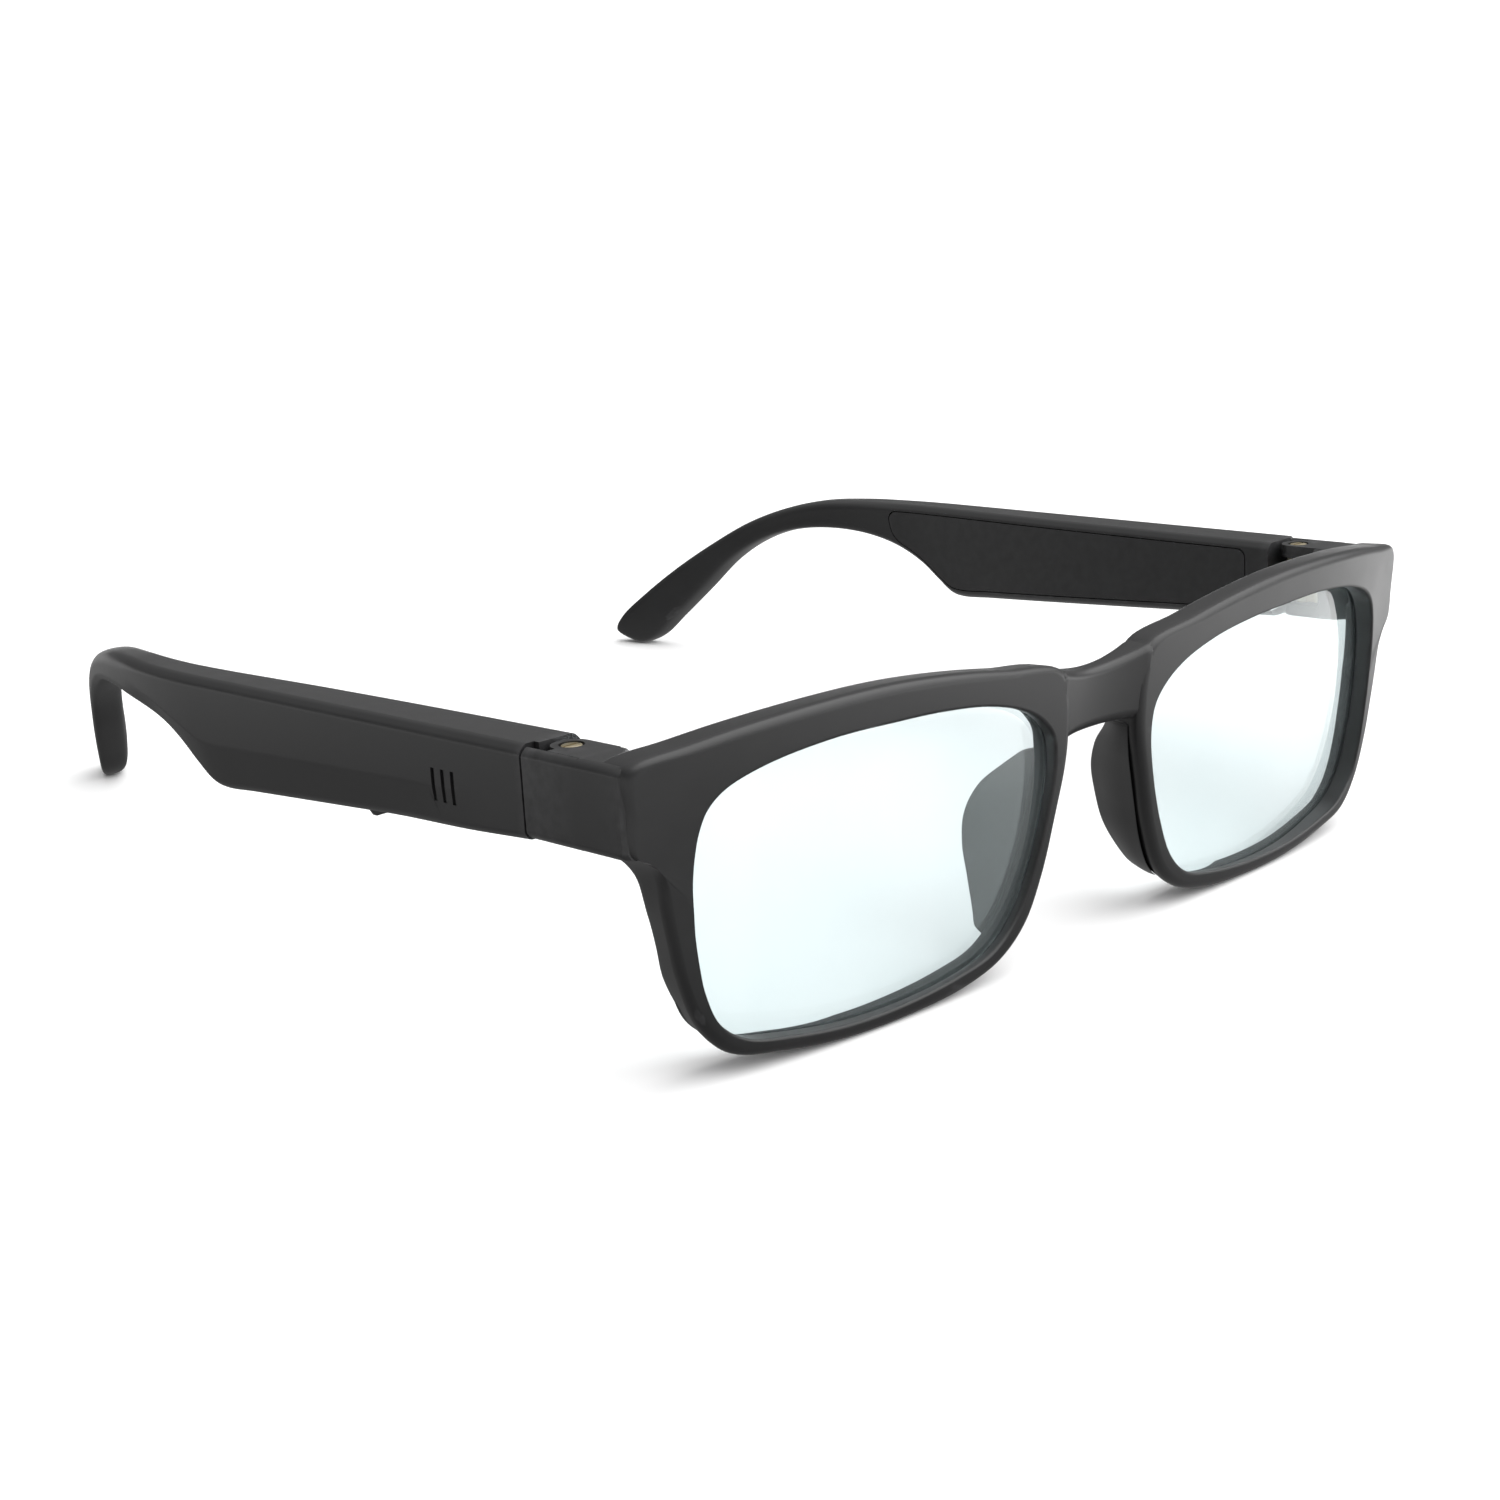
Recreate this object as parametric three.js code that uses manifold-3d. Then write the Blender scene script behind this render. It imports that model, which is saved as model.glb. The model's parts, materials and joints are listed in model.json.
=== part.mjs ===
// Audio smart glasses: a moulded full-rim front, two clear lenses, and two deep box temples
// that hold the electronics and fold on three-knuckle brass hinges.
//
// Design frame, before the glasses are set down: x runs across the face towards the wearer's
// left, y runs back along the temples, z is up, and z = 0 is the level of the temple tops.
// Everything is drawn for the wearer's left and mirrored for the right. Millimetres.

import * as THREE from 'three';
import { mergeVertices } from 'three/addons/utils/BufferGeometryUtils.js';
import Module from 'manifold-3d';

const wasm = await Module();
wasm.setup();

// ---------------------------------------------------------------- driving dimensions

const HALF_WIDTH = 72;            // half the width over the temples
const GAP = 0.3;                  // clearance between neighbouring pieces

// Front: a bowed sheet, flat across the nose and sweeping back at the ends.
const BOW = 2.15e-7;              // quartic bow of the front
const LEAN = 0.095;               // lean of the front: its foot sits further back
const RIM_DEPTH_NOSE = 4.7;
const RIM_DEPTH_GAIN = 0.016;      // extra rim depth per mm out from the nose
const RIM_TAPER_TOP = 0.2;        // how far the outer wall draws in towards the back
const RIM_TAPER_SIDE = 2.4;
const RIM_TAPER_NOSE = 1.2;
const RIM_BACK_LEAST = 1.2;       // least width left at the back of the rim
const RIM_STEPS = 76;

// Lens: a shell of constant thickness, cut from a sphere and turned with the front.
const LENS_X = 36.9;
const LENS_Z = -19.2;
const LENS_RADIUS = 132;
const LENS_TURN = 0.0873;
const LENS_Y = -4.75;
const LENS_THICK = 1.7;
const GROOVE_DEPTH = 0.9;
const GROOVE_SLACK = 0.25;
const LENS_RINGS = 3;

// Bridge.
const BRIDGE_HALF = 8.1;
const BRIDGE_TOP = -1.75;
const BRIDGE_DIP = 1.3;
const BRIDGE_LOW = -10.7;
const BRIDGE_SCOOP = 1.5;
const BRIDGE_BACK = -0.6;

// Endpiece and hinge.
const ENDPIECE_TOP = -0.3;
const ENDPIECE_LOW = -10.3;
const ENDPIECE_END = 16.4;
const ENDPIECE_CHAMFER = 0.7;
const BLOCK_END = 9;              // the solid part ends here, and the fork starts
const WALL_X = 70.2;              // inside of the outer wall beside the hinge
const HINGE_X = 67.6;
const HINGE_Y = 13.2;
const KNUCKLE_R = 2.3;            // plastic fork plates
const BARREL_R = 1.6;             // brass barrels
const PLATE = 1.7;                // fork plate thickness
const EAR = 1.3;                  // brass ear thickness
const PIN_R = 0.8;
const PIN_HEAD_R = 1.2;
const PIN_HEAD = 0.7;
const PIN_SLACK = 0.22;

// Temple.
const TEMPLE_START = 16.7;
const TEMPLE_INNER_START = 15.9;
const TEMPLE_STEPS = 54;
const TEMPLE_SPLAY = 0.0133;      // the outer face opens out by this much per mm
const EAR_BEND_START = 80;
const EAR_BEND = 0.006;           // quadratic inward bend behind EAR_BEND_START
const BOX_LOW = -10.5;            // underside of the box at its front end
const BOX_FALL = 0.058;           // and its fall per mm
const WALL = 1.5;
const BOTTOM_WALL = 1.8;
const COVER_THICK = 1.2;
const COVER_LAND = 1.1;           // width of the shell's edge left around the cover
const FACET_START = 30;           // the lower outer facet fades in from here
const FACET_END = 84;
const FACET_DEPTH = 1.1;

// Button, contacts and slots on the undersides.
const BUTTON_Y = 47;
const BUTTON_LENGTH = 5.2;
const BUTTON_WIDTH = 2.4;
const BUTTON_PROUD = 1;
const BUTTON_TRAVEL = 0.5;
const CONTACT_Y = [26, 30.4];
const CONTACT_R = 1.1;
const SPEAKER_Y = 66;
const SPEAKER_X = 69.2;           // middle of the hollow beside the speaker
const SLOT_COUNT = 4;
const SLOT_PITCH = 2.2;
const MARK_Y = 30.2;
const MARK_SLOTS = 3;
const MARK_PITCH = 1.7;
const MIC_Y = 23;

// Electronics in the hollow of each temple.
const BAY_TOP = -2.3;
const BAY_LOW = -8.2;
const BAY_X = 68.2;               // middle of the hollow
const BATTERY_START = 34;
const BATTERY_END = 57;
const BATTERY_NEAR = 1.5;
const BATTERY_FAR = 3.2;
const SPEAKER_LENGTH = 9;
const SPEAKER_HEIGHT = 7;
const SPEAKER_DEPTH = 3;
const SPEAKER_LIFT = 3.2;

// ---------------------------------------------------------------- finishes

const finish = (color, roughness, metalness, extra = {}) =>
  new THREE.MeshStandardMaterial({ color, roughness, metalness, ...extra });

const BLACK = finish(0x2b2b2c, 0.45, 0);
const SOFT_BLACK = finish(0x232324, 0.55, 0);
const CLEAR = finish(0xf1fdff, 0.05, 0, { transparent: true, opacity: 0.25 });
const BRASS = finish(0xb8a878, 0.35, 1);
const GOLD = finish(0xd2b46a, 0.25, 1);
const STEEL = finish(0x9a9ca0, 0.3, 1);
const BOARD = finish(0x1f5a3a, 0.5, 0);
const CELL = finish(0x9ea3a8, 0.4, 0.6);
const CHIP = finish(0x18181a, 0.4, 0);
const FOAM = finish(0x1a1a1a, 0.95, 0);

// ---------------------------------------------------------------- solids

const smooth = (a, b, v) => THREE.MathUtils.smoothstep(v, a, b);

// Closed surface through rings of equal length. Open lofts are capped by a fan at each end.
function loft(rings, closed = false) {
  const width = rings[0].length;
  const points = rings.flat();
  const faces = [];
  const last = closed ? rings.length : rings.length - 1;
  for (let i = 0; i < last; i++) {
    const a = i * width;
    const b = ((i + 1) % rings.length) * width;
    for (let j = 0; j < width; j++) {
      const k = (j + 1) % width;
      faces.push(a + j, b + j, b + k, a + j, b + k, a + k);
    }
  }
  if (!closed) {
    const cap = (ring, start, flip) => {
      const centre = points.length;
      const middle = new THREE.Vector3();
      ring.forEach((p) => middle.add(p));
      points.push(middle.divideScalar(width));
      for (let j = 0; j < width; j++) {
        const k = (j + 1) % width;
        if (flip) faces.push(centre, start + k, start + j);
        else faces.push(centre, start + j, start + k);
      }
    };
    cap(rings[0], 0, false);
    cap(rings[rings.length - 1], (rings.length - 1) * width, true);
  }
  const geometry = new THREE.BufferGeometry().setFromPoints(points);
  geometry.setIndex(faces);
  return facingOut(geometry);
}

function facingOut(geometry) {
  const p = geometry.attributes.position;
  const index = geometry.index.array;
  const [a, b, c] = [0, 1, 2].map(() => new THREE.Vector3());
  let volume = 0;
  for (let i = 0; i < index.length; i += 3) {
    a.fromBufferAttribute(p, index[i]);
    b.fromBufferAttribute(p, index[i + 1]);
    c.fromBufferAttribute(p, index[i + 2]);
    volume += a.dot(b.cross(c));
  }
  return volume < 0 ? turnedInsideOut(geometry) : geometry;
}

function turnedInsideOut(geometry) {
  const index = Array.from(geometry.index.array);
  for (let i = 0; i < index.length; i += 3) {
    [index[i], index[i + 1]] = [index[i + 1], index[i]];
  }
  geometry.setIndex(index);
  return geometry;
}

function mirrored(geometry) {
  const copy = geometry.clone();
  copy.scale(-1, 1, 1);
  return turnedInsideOut(copy);
}

function toSolid(geometry) {
  const bare = geometry.clone();
  bare.deleteAttribute('normal');
  bare.deleteAttribute('uv');
  const merged = mergeVertices(bare, 1e-5);
  return new wasm.Manifold(new wasm.Mesh({
    numProp: 3,
    vertProperties: new Float32Array(merged.attributes.position.array),
    triVerts: new Uint32Array(merged.index.array),
  }));
}

function toGeometry(solid) {
  const mesh = solid.getMesh();
  const geometry = new THREE.BufferGeometry();
  geometry.setAttribute('position', new THREE.BufferAttribute(mesh.vertProperties, 3));
  geometry.setIndex(new THREE.BufferAttribute(mesh.triVerts, 1));
  return geometry;
}

const joined = (...parts) => toGeometry(parts.map(toSolid).reduce((a, b) => a.add(b)));
const cut = (part, ...tools) =>
  toGeometry(tools.map(toSolid).reduce((a, b) => a.subtract(b), toSolid(part)));

// Box between two corners.
function block(x0, x1, y0, y1, z0, z1) {
  const geometry = new THREE.BoxGeometry(x1 - x0, y1 - y0, z1 - z0);
  return geometry.translate((x0 + x1) / 2, (y0 + y1) / 2, (z0 + z1) / 2);
}

// Upright cylinder between two levels.
function post(x, y, r, z0, z1, sides = 20) {
  const geometry = new THREE.CylinderGeometry(r, r, z1 - z0, sides);
  return geometry.rotateX(Math.PI / 2).translate(x, y, (z0 + z1) / 2);
}

// Ring of straight pieces with its corners cut, in the plane that `place` maps to.
function chamfered(a0, a1, b0, b1, c, place) {
  return [
    place(a0 + c, b0), place(a1 - c, b0), place(a1, b0 + c), place(a1, b1 - c),
    place(a1 - c, b1), place(a0 + c, b1), place(a0, b1 - c), place(a0, b0 + c),
  ];
}

// ---------------------------------------------------------------- front

// Outer face of the temple: splayed out a little, then bending in behind the ear.
function outerX(y) {
  const splay = TEMPLE_SPLAY * Math.max(0, y - TEMPLE_START);
  return HALF_WIDTH + splay - EAR_BEND * Math.max(0, y - EAR_BEND_START) ** 2;
}

const frontY = (x, z) => BOW * (x ** 4 - HALF_WIDTH ** 4) - LEAN * z;
const rimDepth = (x) => RIM_DEPTH_NOSE + RIM_DEPTH_GAIN * x;

function lensY(x, z) {
  const across = x - LENS_X;
  const up = z - LENS_Z;
  return LENS_Y + LENS_TURN * across + (across ** 2 + up ** 2) / (2 * LENS_RADIUS) - LEAN * z;
}

// Each rung runs from the lens opening to the outside edge of the rim: [x, z] to [x, z].
const RIM_RUNGS = [
  [37, -2.0, 37, 2.4], [46, -1.9, 47, 2.45], [55, -2.9, 57.5, 1.85], [60.3, -4.6, 64.5, 1.0],
  [62.4, -6.4, 70.4, 0.1], [63.4, -8.6, 71.5, -0.8], [63.9, -11.2, 71.5, -5.2],
  [64.1, -13.8, 71.4, -9.4], [64.1, -15.4, 69.6, -10.4], [64.0, -17.2, 67.9, -12.4],
  [63.8, -20, 67.1, -17], [63.3, -23.4, 66.3, -20.8], [62.5, -27, 65.4, -24.6],
  [60.6, -30.9, 63.0, -30.8], [57.1, -33.4, 59.1, -34.8], [51, -34.7, 52, -36.5],
  [43, -35.7, 43.3, -37.6], [34, -35.8, 33.6, -37.8], [25, -35.0, 23.6, -37.1],
  [19, -33.6, 17.2, -35.3], [15.2, -30.4, 13.1, -32.0], [12.4, -25, 10.3, -26.4],
  [10.3, -18.4, 8.3, -19.4], [9.4, -13, 6.9, -13.6], [9.9, -9.6, 6.6, -9.8],
  [11.8, -7.3, 6.9, -5.4], [15.3, -5.2, 8.2, -1.75], [21.5, -3.4, 18, 0.2], [29, -2.4, 27.5, 1.6],
];

const closedCurve = (pick) => new THREE.CatmullRomCurve3(
  RIM_RUNGS.map((r) => new THREE.Vector3(r[pick], 0, r[pick + 1])), true, 'centripetal');
const openingCurve = closedCurve(0);
const outsideCurve = closedCurve(2);

// Point of the opening's outline, pushed out by `grow` square to the outline.
function openingPoint(t, grow) {
  const point = openingCurve.getPoint(t);
  const along = openingCurve.getTangent(t);
  return new THREE.Vector2(point.x - along.z * grow, point.z + along.x * grow);
}

// The back of the rim is as wide as its front along the top, and slimmer at the sides and below.
function rimTaper(outside) {
  const side = RIM_TAPER_NOSE + (RIM_TAPER_SIDE - RIM_TAPER_NOSE) * smooth(20, 45, outside.x);
  return RIM_TAPER_TOP + (side - RIM_TAPER_TOP) * smooth(9.6, 12.4, -outside.y);
}

// One rim: a closed ring whose section follows the rungs. `grow` swells it, for clearance cuts.
function rim(grow = 0) {
  const rings = [];
  for (let i = 0; i < RIM_STEPS; i++) {
    const t = i / RIM_STEPS;
    const inside = openingPoint(t, 0);
    const groove = openingPoint(t, GROOVE_DEPTH);
    const edge = outsideCurve.getPoint(t);
    const outside = new THREE.Vector2(edge.x, edge.z);
    const way = outside.clone().sub(inside).normalize();
    const taper = Math.min(rimTaper(outside), outside.distanceTo(inside) - RIM_BACK_LEAST);
    const from = (p, d, y) => {
      const q = p.clone().addScaledVector(way, d);
      return new THREE.Vector3(q.x, y(q.x, q.y), q.y);
    };
    const front = (d) => (x, z) => frontY(x, z) + d;
    const back = (d) => (x, z) => frontY(x, z) + rimDepth(x) - d;
    const lensFront = (x, z) => lensY(x, z) - GROOVE_SLACK;
    const lensBack = (x, z) => lensY(x, z) + LENS_THICK + GROOVE_SLACK;
    rings.push([
      from(inside, 0, front(0.5)),
      from(inside, 0.5, front(-grow)),
      from(outside, grow - 0.9, front(-grow)),
      from(outside, grow - 0.25, front(0.35 - grow)),
      from(outside, grow, front(1.1)),
      from(outside, grow - taper, back(0.8)),
      from(outside, grow - taper - 0.6, back(-grow)),
      from(inside, 0.3, back(-grow)),
      from(inside, 0, back(0.4)),
      from(inside, 0, lensBack),
      from(groove, 0, lensBack),
      from(groove, 0, lensFront),
      from(inside, 0, lensFront),
    ]);
  }
  return loft(rings, true);
}

function bridge() {
  const rings = [];
  const steps = 16;
  for (let i = 0; i <= steps; i++) {
    const u = -1 + 2 * i / steps;
    const dip = 1 - u * u;
    const x = u * BRIDGE_HALF;
    const top = BRIDGE_TOP - BRIDGE_DIP * dip;
    const low = BRIDGE_LOW - 0.5 * u ** 4;
    const face = (z) => frontY(x, z) + BRIDGE_SCOOP * dip;
    rings.push([
      new THREE.Vector3(x, face(top) + 0.6, top),
      new THREE.Vector3(x, face(top), top - 0.6),
      new THREE.Vector3(x, face(low), low + 0.9),
      new THREE.Vector3(x, face(low) + 0.9, low),
      new THREE.Vector3(x, BRIDGE_BACK - 0.6, low),
      new THREE.Vector3(x, BRIDGE_BACK, low + 0.8),
      new THREE.Vector3(x, BRIDGE_BACK, top - 0.8),
      new THREE.Vector3(x, BRIDGE_BACK - 0.8, top),
    ]);
  }
  return loft(rings);
}

// The endpiece wraps back from the front as a box, then as a fork around the hinge.
function endpiece() {
  const stations = [
    [0.9, 67.6, HALF_WIDTH - 0.6], [1.9, 67.4, HALF_WIDTH], [4.8, 67.2, HALF_WIDTH],
    [7.2, 64.6, HALF_WIDTH], [BLOCK_END, 64.6, HALF_WIDTH],
  ];
  const section = (y, x0, x1) => chamfered(
    x0, x1, ENDPIECE_LOW, ENDPIECE_TOP, ENDPIECE_CHAMFER, (x, z) => new THREE.Vector3(x, y, z));
  const body = loft(stations.map(([y, x0, x1]) => section(y, x0, x1)));
  const wall = loft([BLOCK_END - 1, ENDPIECE_END].map((y) => section(y, WALL_X, HALF_WIDTH)));
  const plate = (z0) => {
    const plan = new THREE.Shape();
    plan.moveTo(HINGE_X - KNUCKLE_R, BLOCK_END - 1);
    plan.lineTo(WALL_X + 0.8, BLOCK_END - 1);
    plan.lineTo(WALL_X + 0.8, HINGE_Y);
    plan.lineTo(HINGE_X + KNUCKLE_R, HINGE_Y);
    plan.absarc(HINGE_X, HINGE_Y, KNUCKLE_R, 0, Math.PI, false);
    plan.closePath();
    const options = { depth: PLATE, bevelEnabled: false, curveSegments: 12 };
    return new THREE.ExtrudeGeometry(plan, options).translate(0, 0, z0);
  };
  return [body, wall, plate(ENDPIECE_TOP - PLATE), plate(ENDPIECE_LOW)];
}

function frontFrame() {
  const half = cut(
    joined(rim(), ...endpiece()),
    post(HINGE_X, HINGE_Y, PIN_R + PIN_SLACK, ENDPIECE_LOW - 1, 1),
    post(HINGE_X, HINGE_Y, PIN_HEAD_R + PIN_SLACK, ENDPIECE_TOP - PIN_HEAD - GAP, 1),
  );
  return joined(half, mirrored(half), bridge());
}

function lens() {
  const rings = [];
  for (let i = 0; i < RIM_STEPS; i++) {
    const edge = openingPoint(i / RIM_STEPS, GROOVE_DEPTH - GAP);
    const place = (f, depth) => {
      const x = LENS_X + (edge.x - LENS_X) * f;
      const z = LENS_Z + (edge.y - LENS_Z) * f;
      return new THREE.Vector3(x, lensY(x, z) + depth, z);
    };
    const spokes = Array.from({ length: LENS_RINGS }, (_, k) => (k + 1) / LENS_RINGS);
    rings.push([
      ...spokes.map((f) => place(f, 0)),
      ...spokes.reverse().map((f) => place(f, LENS_THICK)),
    ]);
  }
  return closedDisc(rings);
}

// Surface through spokes that share one point in front and one behind.
function closedDisc(spokes) {
  const count = spokes.length;
  const width = spokes[0].length;
  const points = spokes.flat();
  const faces = [];
  const hub = (column) => {
    const centre = new THREE.Vector3();
    spokes.forEach((s) => centre.add(s[column]));
    points.push(centre.divideScalar(count));
    return points.length - 1;
  };
  const frontHub = hub(0);
  const backHub = hub(width - 1);
  for (let i = 0; i < count; i++) {
    const a = i * width;
    const b = ((i + 1) % count) * width;
    for (let j = 0; j < width - 1; j++) {
      faces.push(a + j, b + j, b + j + 1, a + j, b + j + 1, a + j + 1);
    }
    faces.push(frontHub, b, a);
    faces.push(backHub, a + width - 1, b + width - 1);
  }
  const geometry = new THREE.BufferGeometry().setFromPoints(points);
  geometry.setIndex(faces);
  return facingOut(geometry);
}

// Back edge of the nose pad, from the top down: [x, y, z] of its edge and x of the rim beside it.
const PAD_RUNGS = [
  [8.2, 1.3, -11.4, 6.7], [10, 3.5, -13.4, 6.9], [11.6, 6.1, -16, 7.3], [12.6, 7.6, -19.4, 8.2],
  [13.2, 7.6, -23, 9.2], [13.6, 6.7, -27, 10.4], [14.9, 4.9, -31, 12.3], [16.4, 3.5, -33.6, 14.6],
];

// A fin behind the nasal side of the rim, hollowed where the rim passes through it.
function nosePad() {
  const curve = new THREE.CatmullRomCurve3(PAD_RUNGS.map(([x, y, z]) => new THREE.Vector3(x, y, z)));
  const foot = new THREE.CatmullRomCurve3(PAD_RUNGS.map(([, , z, x]) => new THREE.Vector3(x, 0, z)));
  const rings = [];
  const steps = 20;
  for (let i = 0; i <= steps; i++) {
    const back = curve.getPoint(i / steps);
    const root = foot.getPoint(i / steps);
    const z = back.z;
    const rimFront = frontY(root.x, z);
    const rimBack = rimFront + rimDepth(root.x);
    const at = (x, y) => new THREE.Vector3(x, y, z);
    const [midX, midY] = [(root.x + back.x) / 2, (rimFront + back.y) / 2 + 0.8];
    rings.push([
      at(root.x, rimFront + 1.8),
      at(midX - 0.7, midY),
      at(back.x - 0.4, back.y),
      at(back.x + 1, back.y - 0.3),
      at(root.x + 2.5, rimBack + GAP),
      at(root.x + 0.9, rimBack - 1.6),
    ]);
  }
  return cut(loft(rings), rim(GAP));
}

// ---------------------------------------------------------------- hinge

const TOP_PLATE_LOW = ENDPIECE_TOP - PLATE;
const LOW_PLATE_TOP = ENDPIECE_LOW + PLATE;
const EAR_TOP = TOP_PLATE_LOW - GAP;
const EAR_LOW = LOW_PLATE_TOP + GAP;
const TONGUE_TOP = EAR_TOP - EAR - GAP;
const TONGUE_LOW = EAR_LOW + EAR + GAP;
const LEAF_END = 24.6;

function hingeFrontLeaf() {
  const ear = (z0) => joined(
    post(HINGE_X, HINGE_Y, BARREL_R, z0, z0 + EAR),
    block(HINGE_X - 1.1, HINGE_X + 1.1, BLOCK_END + GAP, HINGE_Y, z0, z0 + EAR),
  );
  const base = block(HINGE_X - 1.6, HINGE_X + 1.9, BLOCK_END + GAP, BLOCK_END + 1.4, EAR_LOW, EAR_TOP);
  const leaf = joined(base, ear(EAR_TOP - EAR), ear(EAR_LOW));
  return cut(leaf, post(HINGE_X, HINGE_Y, PIN_R + PIN_SLACK, ENDPIECE_LOW, 0));
}

function hingeRearLeaf() {
  const leaf = joined(
    post(HINGE_X, HINGE_Y, BARREL_R, TONGUE_LOW, TONGUE_TOP),
    block(HINGE_X - 0.8, HINGE_X + 0.8, HINGE_Y, LEAF_END, TONGUE_LOW, TONGUE_TOP),
  );
  return cut(leaf, post(HINGE_X, HINGE_Y, PIN_R + PIN_SLACK, ENDPIECE_LOW, 0));
}

function hingePin() {
  const top = ENDPIECE_TOP - 0.05;
  const profile = [
    [0, ENDPIECE_LOW + 0.2], [PIN_R - 0.2, ENDPIECE_LOW + 0.2], [PIN_R, ENDPIECE_LOW + 0.5],
    [PIN_R, top - PIN_HEAD], [PIN_HEAD_R, top - PIN_HEAD], [PIN_HEAD_R, top - 0.15],
    [PIN_HEAD_R - 0.15, top], [0, top],
  ].map(([r, z]) => new THREE.Vector2(r, z));
  const turned = new THREE.LatheGeometry(profile, 24).rotateX(Math.PI / 2);
  const driverSlot = block(-PIN_HEAD_R - 1, PIN_HEAD_R + 1, -0.16, 0.16, top - 0.3, top + 1);
  return cut(facingOut(mergedBare(turned)), driverSlot).translate(HINGE_X, HINGE_Y, 0);
}

function mergedBare(geometry) {
  geometry.deleteAttribute('normal');
  geometry.deleteAttribute('uv');
  return mergeVertices(geometry, 1e-5);
}

// ---------------------------------------------------------------- temple

const bottomZ = (y) => BOX_LOW - BOX_FALL * (y - TEMPLE_INNER_START);

// Each rung joins the top edge of the temple to its bottom edge: [y, z] to [y, z], then the
// thickness there. The box runs level, its rear end slants, and the ear hook drops to the tip.
const TEMPLE_RUNGS = [
  [TEMPLE_INNER_START, 0, TEMPLE_INNER_START, BOX_LOW, 8], [40, 0, 40, bottomZ(40), 7.6],
  [60, 0, 60, bottomZ(60), 7], [70, 0, 70, bottomZ(70), 6.5], [76, 0, 75.9, bottomZ(75.9), 6.2],
  [78.8, 0, 78.2, -13.6, 6.1], [82, 0, 80.9, -11.9, 6], [86, 0, 84.4, -9.5, 5.8],
  [91, 0, 89.4, -7.1, 5.6], [98, 0, 96, -5.4, 5.3], [105.5, -0.4, 104, -4.8, 5],
  [112, -1.8, 110.8, -5.5, 4.8], [118, -4.1, 116.4, -7.5, 4.8], [124, -7.7, 121.4, -10.9, 4.9],
  [129.8, -11.9, 126.1, -15.9, 5], [135, -16.4, 130.7, -20.8, 4.9], [138.8, -20.2, 133.8, -24.1, 4.4],
  [140.3, -22.6, 136.2, -25.3, 3.4], [139.9, -24, 137.8, -25.2, 2],
];

const rungCurve = (pick) => new THREE.CatmullRomCurve3(
  TEMPLE_RUNGS.map((r) => new THREE.Vector3(r[4], r[pick], r[pick + 1])), false, 'centripetal');
const topCurve = rungCurve(0);
const bottomCurve = rungCurve(2);

// Rungs between two stretches of the list, drawn in by `inset` at the top and the bottom.
function rungs(from, to, steps, inset = 0) {
  const list = [];
  const span = TEMPLE_RUNGS.length - 1;
  for (let i = 0; i <= steps; i++) {
    const t = (from + (to - from) * i / steps) / span;
    const top = topCurve.getPoint(t);
    const bottom = bottomCurve.getPoint(t);
    const down = new THREE.Vector2(bottom.y - top.y, bottom.z - top.z);
    const height = down.length();
    list.push({
      at: (f, dz = 0) => {
        const s = (inset + (height - 2 * inset) * f + dz) / height;
        return new THREE.Vector2(top.y + down.x * s, top.z + down.y * s);
      },
      height: height - 2 * inset,
      thick: top.x,
    });
  }
  return list;
}

// Section of the shell on one rung, going round from the outer top edge.
function shellSection(rung) {
  const chamfer = Math.min(0.9, rung.thick * 0.24);
  const middle = rung.at(0.5).x;
  const facet = FACET_DEPTH * smooth(FACET_START, FACET_END, middle) * (1 - smooth(96, 108, middle));
  const point = (f, dz, inwards) => {
    const p = rung.at(f, dz);
    return new THREE.Vector3(outerX(p.x) - inwards, p.x, p.y);
  };
  const inner = rung.thick;
  return [
    point(0, 0, chamfer), point(0, chamfer, 0), point(0.68, 0, 0),
    point(1, -0.7, facet), point(1, 0, facet + 0.7), point(1, 0, inner - 0.7),
    point(1, -0.7, inner), point(0, chamfer, inner), point(0, 0, inner - chamfer),
  ];
}

// Slab through the rungs between two distances in from the outer face.
function slab(list, near, far) {
  return loft(list.map((rung) => {
    const point = (f, inwards) => {
      const p = rung.at(f);
      return new THREE.Vector3(outerX(p.x) - inwards(rung), p.x, p.y);
    };
    return [point(0, near), point(1, near), point(1, far), point(0, far)];
  }));
}

const CAVITY_RUNGS = [0.21, 7.6];
const COVER_RUNGS = [0.16, 8.1];
const innerFace = (rung) => rung.thick;
const coverBack = (rung) => rung.thick - COVER_THICK;

const templeBody = () =>
  loft(rungs(0, TEMPLE_RUNGS.length - 1, TEMPLE_STEPS).map(shellSection));

// What both shells are hollowed and trimmed by: the bay, the cover's seat and the hinge's room.
function templeCuts() {
  const cavity = slab(rungs(...CAVITY_RUNGS, 16, BOTTOM_WALL), () => WALL, (r) => r.thick + 1);
  const seat = slab(
    rungs(...COVER_RUNGS, 16, COVER_LAND), (r) => coverBack(r) - GAP, (r) => r.thick + 1);
  const seamCut = block(WALL_X - 0.4, HALF_WIDTH + 1, TEMPLE_INNER_START - 1, TEMPLE_START, -20, 5);
  const knuckleRoom = post(HINGE_X, HINGE_Y, KNUCKLE_R + GAP, -20, 5);
  const leafSlot = block(
    HINGE_X - 0.8 - GAP, HINGE_X + 0.8 + GAP, HINGE_Y, LEAF_END + GAP,
    TONGUE_LOW - GAP, TONGUE_TOP + GAP);
  return [cavity, seat, seamCut, knuckleRoom, leafSlot];
}

// Row of equal slots along y, centred on `y`.
function slots(count, pitch, y, width, x0, x1, z0, z1) {
  return Array.from({ length: count }, (_, i) => {
    const centre = y + (i - (count - 1) / 2) * pitch;
    return block(x0, x1, centre - width / 2, centre + width / 2, z0, z1);
  });
}

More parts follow.
